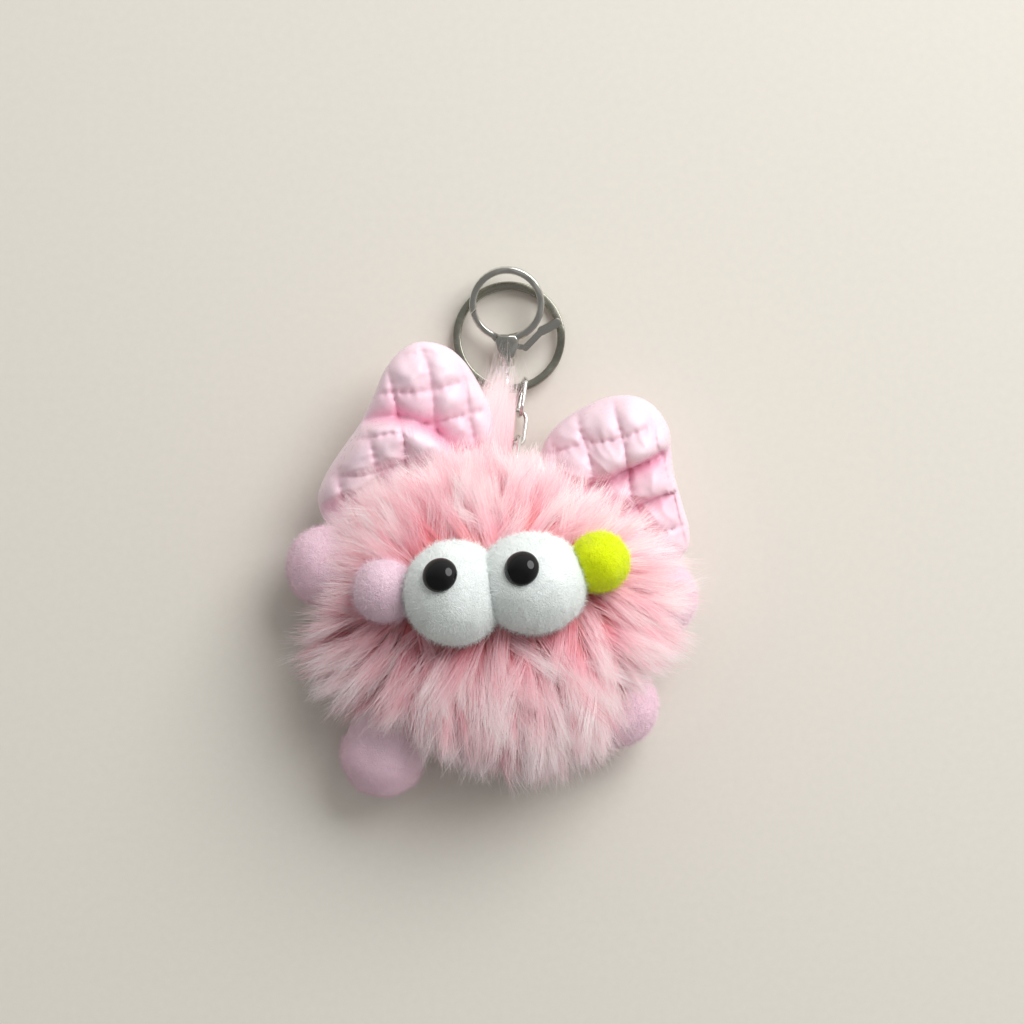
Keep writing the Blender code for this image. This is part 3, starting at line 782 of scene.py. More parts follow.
def trim(paths, centre, uneven, rng):
    """Shortens the strands that would stand out past the outline of the pile."""
    tips = paths[:, -1, :2] - centre[:2]
    angle = np.degrees(np.arctan2(tips[:, 1], tips[:, 0])) % 360
    degrees, reach = np.array(PILE_REACH).T
    allowed = np.interp(angle, degrees, reach, period=360)
    allowed = allowed * (0.68 + 0.4 * rng.beta(1.9, 1.6, len(paths))) * uneven
    far = np.linalg.norm(tips, axis=1)
    near = np.linalg.norm(paths[:, 0, :2] - centre[:2], axis=1)
    share = np.clip((allowed - near) / np.maximum(far - near, 1e-3), 0.3, 1.0)
    share = np.where(far > allowed, share, 1.0)
    return paths[:, :1] + (paths - paths[:, :1]) * share[:, None, None]


def nearest_lock(roots, guide_roots):
    """The lock that each root belongs to."""
    tree = KDTree(len(guide_roots))
    for i, point in enumerate(guide_roots):
        tree.insert(point, i)
    tree.balance()
    return np.array([tree.find(point)[1] for point in roots])


def clear_of_balls(roots):
    """Which roots aren't covered by a felt ball, hand or foot."""
    keep = np.ones(len(roots), bool)
    for start, end, radius in solid_shapes():
        covered = 0.97 if start == end else 0.95
        keep &= np.linalg.norm(away_from_bar(roots, start, end), axis=1) > radius * covered
    return keep


class PLUSH_OT_fur(bpy.types.Operator):
    """Grow the fur of the body in eight parts, with the backing under it and the tuft at the crown"""

    bl_idname = "plush.fur"
    bl_label = "Fur"

    def execute(self, context):
        look = settings()
        rng = np.random.default_rng(7)
        self.backing()
        grids = [HeightGrid(mesh_points(name + "_satin")) for name in EARS]
        strands = look.fur_strands * FUR_PARTS
        paths, facing, tone, fade = fur_paths(strands, rng, grids)
        width = rng.uniform(0.7, 1.15, len(paths)) * look.strand_width / MM
        mat = fur_material("pink fur")

        def piece(name, pick, body=None):
            pick = pick[:STRANDS_IN_PIECE]
            mesh = strand_mesh(name, paths[pick], facing[pick], width[pick], tone[pick], rng, fade[pick])
            return add_piece(name, mesh, mat, body)

        owner = np.zeros(len(paths), int)
        for number, grid in enumerate(grids, 1):
            owner[grid.touches(paths)] = number
        free = np.flatnonzero(owner == 0)
        for i in range(FUR_PARTS):
            ob = piece(f"fur_{i + 1}", free[i::FUR_PARTS], "plush")
            ob.visible_shadow = i < FUR_PARTS_WITH_SHADOW
        for number, ear in enumerate(EARS, 1):
            ob = piece("fur_on_" + ear, np.flatnonzero(owner == number))
            ob.visible_shadow = False
            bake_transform(ob)
        self.tuft(rng, mat)
        return {"FINISHED"}

    def backing(self):
        """The knitted backing with its dense underfur."""
        centre, radii = body_shape()
        bm = bmesh.new()
        bmesh.ops.create_icosphere(bm, subdivisions=5, radius=1.0)
        bmesh.ops.scale(bm, vec=Vector(radii), verts=bm.verts)
        bmesh.ops.translate(bm, vec=Vector(centre), verts=bm.verts)
        for v in bm.verts:
            v.co += v.normal * 0.5 * noise.noise(v.co * 0.35)
            v.co.z = max(v.co.z, 0.05)
        mat, tree, shader = new_material("fur backing", roughness=0.95, sheen=0.3)
        # Painted light: the underfur is a lighter pink than the roots, standing in for light that the pile
        # scatters down into the gaps between the locks.
        mottled_colour(tree, shader, (1.0, 0.42, 0.44), 300.0, 0.9, 1.0)
        fibre = place_group(tree, fibre_group(), Scale=1100.0)
        bump_from(tree, fibre.outputs["Height"], shader, 0.8, 0.0006)
        ob = add_piece("fur_backing", mesh_from_bmesh("fur_backing", bm), mat, "plush", "fur_pelt")

    def tuft(self, rng, mat):
        """A wispy lock between the ears, beside the chain and over the end of the clasp"""
        count = TUFT_STRANDS
        spread = rng.normal(0, 1.0, (count, 3))
        roots = np.array([-0.4, 8.5, 18.0]) + spread * np.array([3.9, 1.6, 3.0])
        tips = np.array([4.9, 46.0, 11.6]) + spread * np.array([0.8, 0.0, 0.5])
        tips += rng.normal(0, 1.0, (count, 3)) * np.array([1.3, 2.4, 0.9])
        reach = 0.4 + 0.6 * rng.beta(1.3, 2.0, (count, 1))
        tips = roots + (tips - roots) * reach
        share = np.linspace(0, 1, TUFT_ROWS)[None, :, None]
        paths = roots[:, None] * (1 - share) + tips[:, None] * share
        bow = np.sin(math.pi * share)
        sway = rng.normal(0, 1.5, (count, 1, 1)) * np.array([1.0, 0.0, 0.4])
        side = spread[:, None] * np.array([0.35, 0.0, 0.2]) + np.array([-0.8, 0.0, -1.0])
        paths = paths + bow * (side + sway)
        paths += rng.normal(0, 1.1, (count, 1, 3)) * share**1.5
        links = [joint(name)[0] for name in ("chain_root_swing", "chain_middle_swing", "chain_end_swing")]
        beside = np.interp(paths[..., 1], [p.y for p in links], [p.x for p in links]) - 1.5
        low = paths[..., 1] < 37.0
        over = np.maximum(paths[..., 0] - beside, 0)
        paths[..., 0] -= np.where(low, over * 0.9, 0)
        facing = np.tile(np.array([0.0, 0.15, 1.0]), (count, 1))
        width = rng.uniform(0.08, 0.13, count)
        tone = np.clip(0.5 + rng.normal(0, 0.2, count), 0, 1)
        mesh = strand_mesh("fur_tuft", paths, unit(facing), width, tone, rng)
        ob = add_piece("fur_tuft", mesh, mat, "plush")
        ob.visible_shadow = False


def mesh_points(name):
    """The points of a finished piece, in millimetres."""
    mesh = bpy.data.objects[name].data
    flat = np.empty(len(mesh.vertices) * 3)
    mesh.vertices.foreach_get("co", flat)
    return flat.reshape(-1, 3) / MM


# ---------------------------------------------------------------- felt


def press(points, centre, radius, other, other_radius, shift):
    """Flattens a ball softly against its neighbour, with their seam moved out by a shift."""
    between = np.array(other) - np.array(centre)
    distance = np.linalg.norm(between)
    side = between / distance
    reach = (distance**2 + radius**2 - other_radius**2) / (2 * distance) + 0.12 + shift
    along = (points - np.array(centre)) @ side
    soft = 0.45
    room = soft * np.logaddexp(0, (reach - along) / soft)
    return points + side * (reach - room - along)[:, None]


def fuzz(name, points, normals, mat, rng, count):
    """Short loose fibres standing off a felt surface."""
    pick = rng.integers(0, len(points), count)
    roots = points[pick] + rng.normal(0, 0.12, (count, 3))
    lean = unit(normals[pick] * 0.8 + rng.normal(0, 0.85, (count, 3)))
    share = np.linspace(0, 1, 4)[None, :, None]
    size = rng.uniform(0.4, 1.0, (count, 1, 1)) * FUZZ_LENGTH
    curl = rng.normal(0, 0.35, (count, 1, 3)) * share**2 * FUZZ_LENGTH
    paths = roots[:, None] + lean[:, None] * share * size + curl
    tone = rng.random(count)
    facing = unit(normals[pick] + np.array([0.0, 0.0, 0.9]))
    mesh = strand_mesh(name, paths, facing, np.full(count, FUZZ_WIDTH), tone, rng)
    add_piece(name, mesh, mat, "plush")


def felt_ball(node, start, end, radius, mat, fuzz_mat, seed, fuzz_count, neighbours=()):
    """A felt ball, or a round-ended felt limb, with its flats, lumps and loose fibres."""
    name = node + "_felt"
    bm = bmesh.new()
    bmesh.ops.create_icosphere(bm, subdivisions=BALL_DETAIL, radius=radius)
    run = Vector(end) - Vector(start)
    if run.length > 0:
        for v in bm.verts:
            if v.co.z > 1e-6:
                v.co.z += run.length
        turn = run.to_track_quat("Z", "Y").to_matrix()
        bmesh.ops.transform(bm, matrix=turn.to_4x4(), verts=bm.verts)
    bmesh.ops.translate(bm, vec=Vector(start), verts=bm.verts)
    bm.normal_update()
    points = np.array([v.co[:] for v in bm.verts])
    normals = np.array([v.normal[:] for v in bm.verts])
    lumps = np.array([noise.noise(Vector(p) * 0.16 + Vector((seed, 0, 0))) for p in points])
    fine = np.array([noise.noise(Vector(p) * 1.3) for p in points])
    pits = np.array([noise.noise(Vector(p) * 2.9) for p in points])
    points = points + normals * (0.4 * lumps + 0.12 * fine + 0.07 * pits)[:, None]
    if node == "eye_right":
        edge = points[:, 0].max()
        points[:, 0] = edge - (edge - points[:, 0]) * EYE_STRETCH
    for k, (other, other_radius) in enumerate(neighbours):
        shift = SEAM_SHIFT.get(node, 0.0) if k == 0 else 0.0
        points = press(points, start, radius, other, other_radius, shift)
    for v, point in zip(bm.verts, points):
        v.co = point
    ob = add_piece(name, mesh_from_bmesh(name, bm), mat, "plush", node)
    rng = np.random.default_rng(seed)
    fuzz(name + "_fuzz", points, normals, fuzz_mat, rng, fuzz_count)
    return ob


class PLUSH_OT_face(bpy.types.Operator):
    """Make the felt eyes and the two small felt balls beside them"""

    bl_idname = "plush.face"
    bl_label = "Felt face balls"

    def execute(self, context):
        look = settings()
        colours = {
            "eye_left": ("white felt", look.eye_colour, "white_felt"),
            "eye_right": ("white felt", look.eye_colour, "white_felt"),
            "ball_pink": ("pink felt", look.pink_colour, "pink_felt"),
            "ball_yellow": ("yellow felt", look.yellow_colour, "yellow_felt"),
        }
        made = {}
        for seed, (node, (centre, radius)) in enumerate(FACE_BALLS.items()):
            label, colour, slot = colours[node]
            if label not in made:
                made[label] = (felt_material(label, colour), fuzz_material(label + " fuzz", colour))
            near = [FACE_BALLS[other] for other in NEIGHBOURS[node]]
            count = FUZZ_ON_EYE if node.startswith("eye") else FUZZ_ON_SMALL_BALL
            ob = felt_ball(node, centre, centre, radius, *made[label], seed + 3, count, near)
        return {"FINISHED"}


class PLUSH_OT_limbs(bpy.types.Operator):
    """Make the felt hands and feet"""

    bl_idname = "plush.limbs"
    bl_label = "Hands and feet"

    def execute(self, context):
        colour = settings().limb_colour
        mats = felt_material("lilac felt", colour), fuzz_material("lilac felt fuzz", colour)
        for seed, (node, (start, end, radius)) in enumerate(LIMB_SHAPES.items()):
            ob = felt_ball(node, start, end, radius, *mats, seed + 20, FUZZ_ON_LIMB)
        return {"FINISHED"}


class PLUSH_OT_pupils(bpy.types.Operator):
    """Make the black safety eyes"""

    bl_idname = "plush.pupils"
    bl_label = "Safety eyes"

    def execute(self, context):
        mat, tree, shader = new_material("black gloss", roughness=0.08)
        mottled_colour(tree, shader, (0.004, 0.004, 0.005), 400.0, 0.7, 1.2)
        rough = place_group(tree, mottle_group(), Scale=700.0, Low=0.04, High=0.09)
        tree.links.new(rough.outputs["Value"], shader.inputs["Roughness"])
        shader.inputs["Specular IOR Level"].default_value = 0.3
        for node, (eye, aim) in PUPILS.items():
            centre, radius = FACE_BALLS[eye]
            out = Vector(aim).normalized()
            seat = Matrix.Translation(Vector(centre) + out * (radius - 0.5))
            place = seat @ out.to_track_quat("Z", "Y").to_matrix().to_4x4()
            ob = add_piece(node + "_dome", self.dome(node, place), mat, "plush", node)
        return {"FINISHED"}

    def dome(self, name, place):
        """A low dome with a rolled rim, turned from its outline, with its shank under it."""
        rim = 0.55
        curve = [
            (PUPIL_RADIUS * math.sin(a), rim + PUPIL_RISE * math.cos(a)) for a in np.linspace(0.08, 1.5, 22)
        ]
        underside = [(PUPIL_RADIUS - 0.05, 0.3), (PUPIL_RADIUS - 0.35, 0.05)]
        shank = [(SHANK_RADIUS, 0.0), (SHANK_RADIUS, -SHANK_LENGTH), (0, -SHANK_LENGTH)]
        outline = [(0, rim + PUPIL_RISE), *curve, *underside, *shank]
        bm = bmesh.new()
        verts = [bm.verts.new((x, 0, z)) for x, z in outline]
        edges = [bm.edges.new(pair) for pair in zip(verts, verts[1:])]
        bmesh.ops.spin(
            bm, geom=verts + edges, cent=(0, 0, 0), axis=(0, 0, 1), angle=2 * math.pi, steps=48,
            use_merge=True,
        )
        bmesh.ops.remove_doubles(bm, verts=bm.verts, dist=1e-4)
        bmesh.ops.recalc_face_normals(bm, faces=bm.faces)
        bmesh.ops.transform(bm, matrix=place, verts=bm.verts)
        mesh = mesh_from_bmesh(name + "_dome", bm)
        mesh.set_sharp_from_angle(angle=math.radians(50))
        return mesh


# ---------------------------------------------------------------- ears


def smooth_outline(corners, steps):
    """A closed curve through the corners (Catmull-Rom)."""
    points = np.array(corners, float)
    count = len(points)
    curve = []
    for i in range(count):
        a, b, c, d = (points[(i + k) % count] for k in (-1, 0, 1, 2))
        for t in np.arange(steps) / steps:
            bend = 2 * b + (c - a) * t
            bend = bend + (2 * a - 5 * b + 4 * c - d) * t**2 + (3 * b - a - 3 * c + d) * t**3
            curve.append(bend / 2)
    return np.array(curve)


def even_outline(corners, count):
    """The same curve with evenly spaced points."""
    curve = smooth_outline(corners, 12)
    closed = np.vstack((curve, curve[:1]))
    gone = np.concatenate(([0], np.cumsum(np.linalg.norm(np.diff(closed, axis=0), axis=1))))
    at = np.linspace(0, gone[-1], count, endpoint=False)
    return np.column_stack([np.interp(at, gone, closed[:, k]) for k in (0, 1)])


def distance_to_line(points, line):
    """Signed distance to a run of straight pieces: positive on its left."""
    best = np.full(len(points), 1e9)
    sign = np.ones(len(points))
    for a, b in zip(line, line[1:]):
        run = b - a
        away = away_from_bar(points, a, b)
        distance = np.linalg.norm(away, axis=1)
        nearer = distance < best
        cross = run[0] * away[:, 1] - run[1] * away[:, 0]
        best = np.where(nearer, distance, best)
        sign = np.where(nearer, np.sign(cross), sign)
    return best * sign


def open_curve(corners, count=40):
    """A smooth open line through the corners."""
    points = np.array(corners, float)
    gone = np.concatenate(([0], np.cumsum(np.linalg.norm(np.diff(points, axis=0), axis=1))))
    fine = np.linspace(0, gone[-1], count)
    curve = np.column_stack([np.interp(fine, gone, points[:, k]) for k in (0, 1)])
    for _ in range(8):
        curve[1:-1] = (curve[:-2] + 2 * curve[1:-1] + curve[2:]) / 4
    return curve


def fold_height(flat, folds):
    """Rolled folds: each rises to a rim on one side of its line and drops into a crease beyond it."""
    height = np.zeros(len(flat))
    crease_shade = np.zeros(len(flat))
    for corners, rise, drop, side in folds:
        d = distance_to_line(flat, open_curve(corners)) * -side
        rim = rise * (1 - np.exp(-np.maximum(d, 0) / 1.3)) * np.exp(-np.maximum(d, 0) / 11.0)
        crease = -drop * np.exp(np.minimum(d, 0) / 3.2)
        blend = 1 / (1 + np.exp(-d / 0.35))
        height += rim * blend + crease * (1 - blend)
        # Painted shade: how far down in the crease a point lies, which darkens the satin's colour there.
        crease_shade = np.maximum(crease_shade, (1 - blend) * np.exp(np.minimum(d, 0) / 3.6) * min(drop / 4, 1))
    return height, crease_shade


def quilt_height(flat, turn):
    """Square quilting: puffed cells between sewn lines, with gathers along the stitches."""
    pitch = settings().quilt_pitch / MM
    a = math.radians(turn)
    u = (flat[:, 0] * math.cos(a) + flat[:, 1] * math.sin(a)) / pitch
    v = (-flat[:, 0] * math.sin(a) + flat[:, 1] * math.cos(a)) / pitch
    drift = np.array([noise.noise(Vector((p[0] * 0.07, p[1] * 0.07, 3.0))) for p in flat])
    u, v = u + 0.16 * drift, v - 0.14 * drift
    across_u, across_v = np.abs(np.sin(math.pi * u)), np.abs(np.sin(math.pi * v))
    puff = (across_u * across_v) ** 0.34
    gather = np.exp(-across_u * 5) * np.sin(v * 26 + 5 * drift)
    gather += np.exp(-across_v * 5) * np.sin(u * 24 - 4 * drift)
    star = np.exp(-(across_u + across_v) * 3.2) * np.sin(np.arctan2(across_u, across_v) * 10)
    # The second value is painted shade: it darkens the satin along the sewn lines, between the puffed
    # cells.
    return 2.5 * puff + 0.26 * gather + 0.5 * star, 0.42 * (1 - puff)


def crinkle(flat, seed):
    """Small wrinkles of cloth that is gathered by its stitches."""
    rough = [noise.noise(Vector((p[0] * 0.32, p[1] * 0.2, seed))) for p in flat]
    ridge = [abs(noise.noise(Vector((p[0] * 0.16 + 9, p[1] * 0.3, seed)))) for p in flat]
    return 0.35 * np.array(rough) - 0.8 * np.array(ridge)


def ear_frame(name):
    """Origin and axes of an ear's plane: along its sewn edge, out to its tip and up off its face."""
    middle, edge = joint(name + "_flop")
    rise = Matrix.Rotation(EAR_RISE, 3, edge)
    out = rise @ Vector((-edge.y, edge.x, 0.0))
    return middle, edge, out, rise @ Vector((0, 0, 1))


def ear_mesh(name, ear):
    rim = even_outline(ear["outline"], EAR_AROUND)
    centre = rim.mean(axis=0)
    shares = 1 - np.linspace(0, 1, EAR_ROWS)[:-1] ** 1.25
    bm = bmesh.new()
    # Painted shade of the creases and sewn lines is carried on the points to darken the satin's colour
    # there.
    layer = bm.verts.layers.float.new("crease_shade")
    rows = {}
    crease_shades = {}
    for side in (1, -1):
        rows[side] = []
        crease_shades[side] = []
        for share in shares:
            flat = centre + (rim - centre) * share
            swell = math.sqrt(1 - share**2.6) * EAR_THICKNESS / 2
            height = np.full(len(flat), swell)
            inner = 1 - share**9
            quilt, crease_shade = quilt_height(flat, ear["quilt_turn"])
            if side > 0:
                fold, crease = fold_height(flat, ear["folds"])
                height = height + inner * (fold + quilt - 1.2 + crinkle(flat, 1.0))
                crease_shade = np.clip(crease_shade + crease, 0, 1)
            else:
                height = height + inner * (0.8 * quilt - 1.0)
            crease_shades[side].append(crease_shade * inner)
            rows[side].append(np.column_stack((flat, side * height)))
    # The two faces share their rim.
    verts = {1: [], -1: []}
    for side in (1, -1):
        for k, row in enumerate(rows[side]):
            if k == 0 and side < 0:
                verts[side].append(verts[1][0])
                continue
            if k == 0:
                row = row + np.column_stack((np.zeros((len(row), 2)), rim_ripple(row)))
            verts[side].append([bm.verts.new(point) for point in row])
            for v, crease_shade in zip(verts[side][-1], crease_shades[side][k]):
                v[layer] = crease_shade
    for side in (1, -1):
        for outer, inner in zip(verts[side], verts[side][1:]):
            for i in range(EAR_AROUND):
                j = (i + 1) % EAR_AROUND
                quad = (outer[i], outer[j], inner[j], inner[i])
                bm.faces.new(quad if side > 0 else quad[::-1])
        last = verts[side][-1]
        bm.faces.new(last if side > 0 else last[::-1])
    bmesh.ops.recalc_face_normals(bm, faces=bm.faces)
    bmesh.ops.smooth_vert(
        bm, verts=bm.verts, factor=0.35, use_axis_x=True, use_axis_y=True, use_axis_z=True,
    )
    middle, edge, out, up = ear_frame(name)
    place = Matrix((edge, out, up)).transposed().to_4x4()
    place.translation = middle
    bmesh.ops.transform(bm, matrix=place, verts=bm.verts)
    return mesh_from_bmesh(name + "_satin", bm)


def rim_ripple(row):
    return np.array([0.7 * noise.noise(Vector((p[0] * 0.3, p[1] * 0.3, 7.0))) for p in row])


class PLUSH_OT_ears(bpy.types.Operator):
    """Make the quilted satin ears"""

    bl_idname = "plush.ears"
    bl_label = "Quilted ears"

    def execute(self, context):
        mat = satin_material()
        for name, ear in EARS.items():
            ob = add_piece(name + "_satin", ear_mesh(name, ear), mat, name)
            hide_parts(name + "_cover", name + "_wadding")
        return {"FINISHED"}


# ---------------------------------------------------------------- metal


def set_material(node, mat):
    """Gives a CAD node a material and leaves its shape as it is."""
    ob = frame["nodes"][node]
    for slot in ob.material_slots:
        slot.material = mat
    if not ob.material_slots:
        ob.data.materials.append(mat)


def refined_copy(node):
    """A CAD node's shape with its doubles merged, its flat faces whole and its edges eased."""
    source = frame["nodes"][node].data
    bm = bmesh.new()
    bm.from_mesh(source)
    bmesh.ops.remove_doubles(bm, verts=bm.verts, dist=2e-6)
    bmesh.ops.dissolve_limit(bm, angle_limit=math.radians(1.0), verts=bm.verts, edges=bm.edges)
    sharp = [e for e in bm.edges if len(e.link_faces) == 2 and e.calc_face_angle(0) > math.radians(38)]
    bmesh.ops.bevel(
        bm, geom=sharp, offset=EASED_EDGE * MM, segments=3, profile=0.5, affect="EDGES", material=-1,
        clamp_overlap=True,
    )
    mesh = mesh_from_bmesh(node + "_metal", bm, 1.0)
    mesh.set_sharp_from_angle(angle=math.radians(50))
    return mesh


def swept_mesh(name, points, profile, closed, place):
    """Carries a profile along a path in millimetres, its first axis level and its second up."""
    outline = bpy.data.curves.new(name + "_outline", "CURVE")
    outline.dimensions = "2D"
    spline = outline.splines.new("POLY")
    spline.points.add(len(profile) - 1)
    for spot, (x, y) in zip(spline.points, profile):
        spot.co = (x, y, 0, 1)
    spline.use_cyclic_u = True
    outline_ob = bpy.data.objects.new(name + "_outline", outline)
    path = bpy.data.curves.new(name + "_path", "CURVE")
    path.dimensions = "3D"
    path.twist_mode = "Z_UP"
    path.bevel_mode = "OBJECT"
    path.bevel_object = outline_ob
    path.use_fill_caps = True
    spline = path.splines.new("POLY")
    spline.points.add(len(points) - 1)
    for spot, point in zip(spline.points, points):
        spot.co = (*point, 1)
    spline.use_cyclic_u = closed
    path_ob = bpy.data.objects.new(name + "_path", path)
    for ob in (outline_ob, path_ob):
        bpy.context.scene.collection.objects.link(ob)
    mesh = bpy.data.meshes.new_from_object(path_ob.evaluated_get(bpy.context.evaluated_depsgraph_get()))
    for ob in (path_ob, outline_ob):
        bpy.data.objects.remove(ob, do_unlink=True)
    bm = bmesh.new()
    bm.from_mesh(mesh)
    bpy.data.meshes.remove(mesh)
    bmesh.ops.remove_doubles(bm, verts=bm.verts, dist=1e-4)
    bmesh.ops.recalc_face_normals(bm, faces=bm.faces)
    bmesh.ops.transform(bm, matrix=place, verts=bm.verts)
    done = mesh_from_bmesh(name, bm)
    done.set_sharp_from_angle(angle=math.radians(50))
    return done


def rounded_box(width, height, corner, steps=4):
    points = []
    for quarter, (sx, sy) in enumerate(((1, 1), (-1, 1), (-1, -1), (1, -1))):
        for i in range(steps + 1):
            a = math.pi / 2 * (quarter + i / steps)
            x = sx * (width / 2 - corner) + corner * math.cos(a)
            points.append((x, sy * (height / 2 - corner) + corner * math.sin(a)))
    return points


def round_profile(radius, sides=14):
    turns = [2 * math.pi * i / sides for i in range(sides)]
    return [(radius * math.cos(a), radius * math.sin(a)) for a in turns]


def oval_path(steps=14):
    """Middle line of a link, from the wire that it hooks over."""
    start = LINK_BEND - HOOK_REACH
    far = LINK_LENGTH - 2 * LINK_WIRE - 2 * LINK_BEND
    half = [math.pi / 2 - math.pi * i / steps for i in range(steps + 1)]
    right = [(start + far + LINK_BEND * math.cos(a), LINK_BEND * math.sin(a), 0) for a in half]
    left = [(start - LINK_BEND * math.cos(a), -LINK_BEND * math.sin(a), 0) for a in half]
    return right + left


def ring_place():
    """The split ring's frame: its origin at its centre and z along its axis."""
    low, high = box_mm("split_ring")
    centre = Vector((low + high) / 2)
    foot, x_axis = joint("clasp_lift")
    y_axis = (centre - foot).normalized()
    y_axis = (y_axis - x_axis * y_axis.dot(x_axis)).normalized()
    place = Matrix((x_axis, y_axis, x_axis.cross(y_axis))).transposed().to_4x4()
    place.translation = foot + y_axis * RING_RADIUS
    return place


def coil_height(angle):
    """The wire lies flat for a turn, then steps up onto the next one."""
    share = min(max((angle - STEP_START) / STEP_RUN, 0), 1)
    return RING_STEP * (share * share * (3 - 2 * share) - 0.5)


class PLUSH_OT_metal(bpy.types.Operator):
    """Make the chain, the split ring and the clasp"""

    bl_idname = "plush.metal"
    bl_label = "Chain, ring and clasp"

    def execute(self, context):
        mats = {
            "nickel": metal_material("nickel plate", (0.62, 0.61, 0.56), 0.12, 0.22),
            "silver": metal_material("silver plate", (0.80, 0.79, 0.77), 0.12, 0.22),
            # Painted reflection: the ring's plate gets a darker olive grey than the clasp's nickel,
            # standing in for the dark room that its flat faces reflect.
            "ring": metal_material("nickel plate with painted dark reflection", (0.31, 0.305, 0.255), 0.18, 0.3),
        }
        bodies = frame["record"]["behaviour"]["bodies"]
        body_of = {node: body for body, nodes in bodies.items() for node in nodes}
        for node, finish in METAL_NODES.items():
            ob = add_piece(node + "_metal", refined_copy(node), mats[finish], body_of[node], node)
        self.links(mats["silver"])
        self.ring(mats["ring"])
        self.cord()
        set_material("stuffing", felt_material("polyester fill", (0.92, 0.91, 0.9)))
        return {"FINISHED"}

    def links(self, mat):
        """Each link runs from the wire that it hooks over to the one that hooks over it."""
        for node, (swing, next_swing, body) in LINKS.items():
            here, normal = joint(swing)
            there, _ = joint(next_swing)
            run = (there - here).normalized()
            place = Matrix((run, normal.cross(run), normal)).transposed().to_4x4()
            place.translation = here
            mesh = swept_mesh(node + "_wire", oval_path(), round_profile(LINK_WIRE), True, place)
            ob = add_piece(node + "_wire", mesh, mat, body, node)

    def ring(self, mat):
        """Nearly two turns of flat wire"""
        points = []
        for angle in np.arange(*RING_ENDS, 4.0):
            a = math.radians(angle)
            points.append((RING_RADIUS * math.cos(a), RING_RADIUS * math.sin(a), coil_height(angle)))
        profile = rounded_box(RING_WIRE_WIDTH, RING_WIRE_HEIGHT, 0.3)
        mesh = swept_mesh("split_ring_coil", points, profile, False, ring_place())
        ob = add_piece("split_ring_coil", mesh, mat, "ring", "split_ring")

    def cord(self):
        """The loop inside the fur keeps its CAD shape and gets a woven look"""
        mat, tree, shader = new_material("braided cord", roughness=0.8, sheen=0.3)
        mottled_colour(tree, shader, (0.85, 0.5, 0.6), 600.0, 0.85, 1.05)
        weave = place_group(tree, satin_group(), Scale=700.0)
        bump_from(tree, weave.outputs["Height"], shader, 0.6, 0.0002)
        set_material("hanging_loop", mat)


# ---------------------------------------------------------------- stage


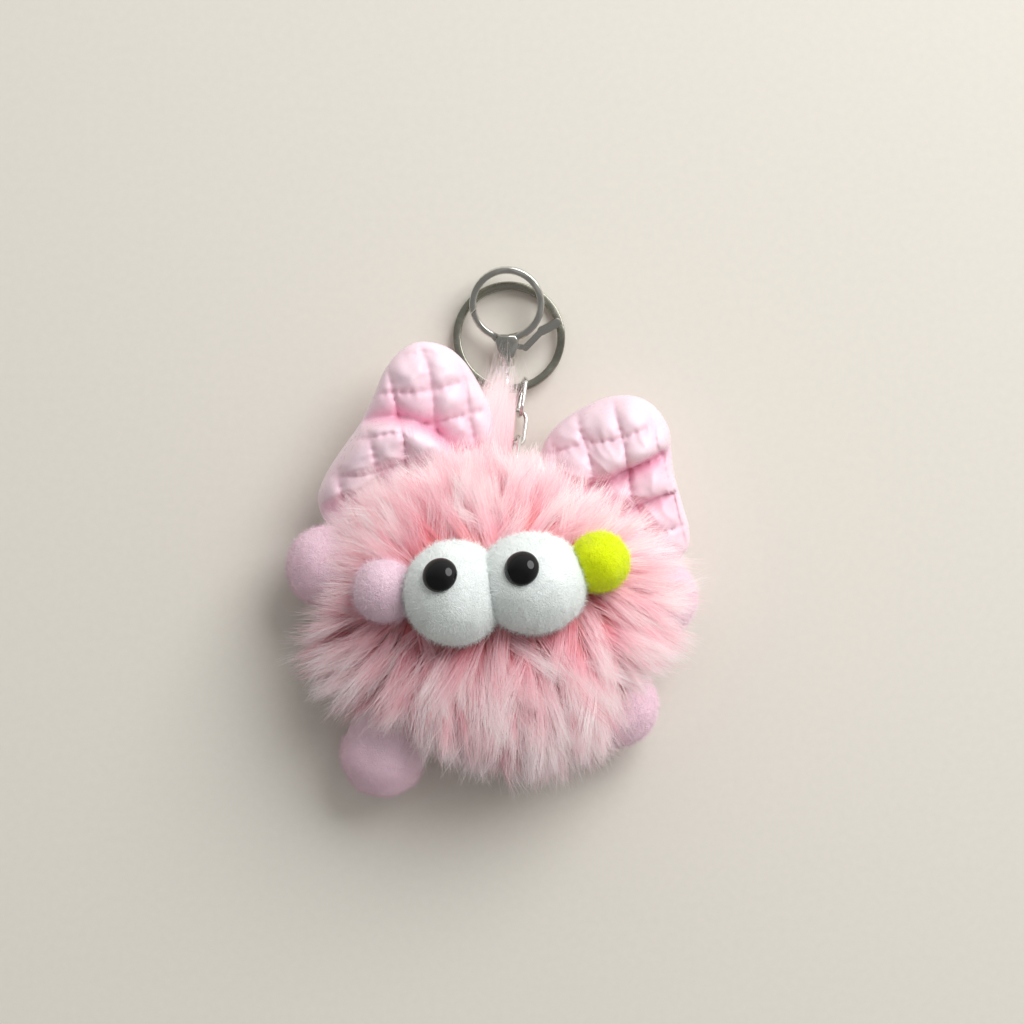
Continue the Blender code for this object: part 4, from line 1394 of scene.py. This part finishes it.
class PLUSH_OT_stage(bpy.types.Operator):
    """Make the camera, the floor and the lights"""

    bl_idname = "plush.stage"
    bl_label = "Stage"

    def execute(self, context):
        self.camera()
        self.floor()
        self.window()
        context.scene.world = self.room()
        context.scene.view_settings.view_transform = "Standard"
        return {"FINISHED"}

    def room(self):
        """A soft room: brighter towards the window, darker behind and overhead"""
        world = bpy.data.worlds.new("soft room")
        world.use_nodes = True
        tree = world.node_tree
        sky = tree.nodes["Background"]
        sky.inputs["Color"].default_value = (1.0, 0.985, 0.965, 1.0)
        place = put(tree, "ShaderNodeTexCoord")
        toward = put(tree, "ShaderNodeVectorMath", operation="DOT_PRODUCT")
        toward.inputs[1].default_value = (0.55, 0.62, -0.56)
        tree.links.new(place.outputs["Generated"], toward.inputs[0])
        glow = remap(tree, toward.outputs["Value"], 0.25, 1.06, -0.6, 0.7)
        seen = put(tree, "ShaderNodeLightPath")
        wall = put(tree, "ShaderNodeMix", data_type="FLOAT")
        wall.inputs["B"].default_value = 0.78
        tree.links.new(seen.outputs["Is Camera Ray"], wall.inputs["Factor"])
        tree.links.new(glow, wall.inputs["A"])
        tree.links.new(wall.outputs["Result"], sky.inputs["Strength"])
        return world

    def camera(self):
        """Looks straight down on the toy"""
        data = bpy.data.cameras.new("overhead")
        data.sensor_width = SENSOR_WIDTH
        data.lens = SENSOR_WIDTH * CAMERA_PLACE[2] / VIEW_WIDTH
        data.clip_start = 0.01
        data.clip_end = 20.0
        ob = bpy.data.objects.new("overhead", data)
        ob.location = CAMERA_PLACE
        bpy.context.scene.collection.objects.link(ob)
        bpy.context.scene.camera = ob

    def floor(self):
        """A cream card under the toy"""
        bm = bmesh.new()
        bmesh.ops.create_grid(bm, x_segments=2, y_segments=2, size=TABLE_HALF_WIDTH)
        mesh = mesh_from_bmesh("table_top", bm, 1.0)
        mat, tree, shader = new_material("cream card", roughness=0.85)
        mottled_colour(tree, shader, (0.80, 0.765, 0.69), 500.0, 0.985, 1.01)
        ob = bpy.data.objects.new("table_top", mesh)
        mesh.materials.append(mat)
        bpy.context.scene.collection.objects.link(ob)

    def window(self):
        """One large soft light from the upper right"""
        data = bpy.data.lights.new("window", "AREA")
        data.shape = "DISK"
        data.size = WINDOW_SIZE
        data.energy = WINDOW_POWER
        ob = bpy.data.objects.new("window", data)
        ob.location = WINDOW_PLACE
        aim = Vector((0, 0, 0.02)) - Vector(WINDOW_PLACE)
        ob.rotation_euler = aim.to_track_quat("-Z", "Y").to_euler()
        bpy.context.scene.collection.objects.link(ob)


class PLUSH_PT_panel(bpy.types.Panel):
    """Shows the plush's settings and its operators in the sidebar"""

    bl_idname = "PLUSH_PT_panel"
    bl_label = "Plush keychain"
    bl_space_type = "VIEW_3D"
    bl_region_type = "UI"
    bl_category = "Plush"

    def draw(self, context):
        for name in PlushSettings.__annotations__:
            self.layout.prop(context.scene.plush, name)
        for operator in OPERATORS:
            self.layout.operator(operator.bl_idname)


OPERATORS = (
    PLUSH_OT_stage, PLUSH_OT_ears, PLUSH_OT_face, PLUSH_OT_pupils, PLUSH_OT_limbs, PLUSH_OT_metal,
    PLUSH_OT_fur,
)
CLASSES = (PlushSettings, *OPERATORS, PLUSH_PT_panel)


def register():
    for item in CLASSES:
        bpy.utils.register_class(item)
    bpy.types.Scene.plush = PointerProperty(type=PlushSettings)


def unregister():
    del bpy.types.Scene.plush
    for item in reversed(CLASSES):
        bpy.utils.unregister_class(item)


def main():
    register()
    bpy.ops.plush.stage()
    bpy.ops.plush.ears()
    bpy.ops.plush.face()
    bpy.ops.plush.pupils()
    bpy.ops.plush.limbs()
    bpy.ops.plush.metal()
    bpy.ops.plush.fur()


if __name__ == "__main__":
    main()
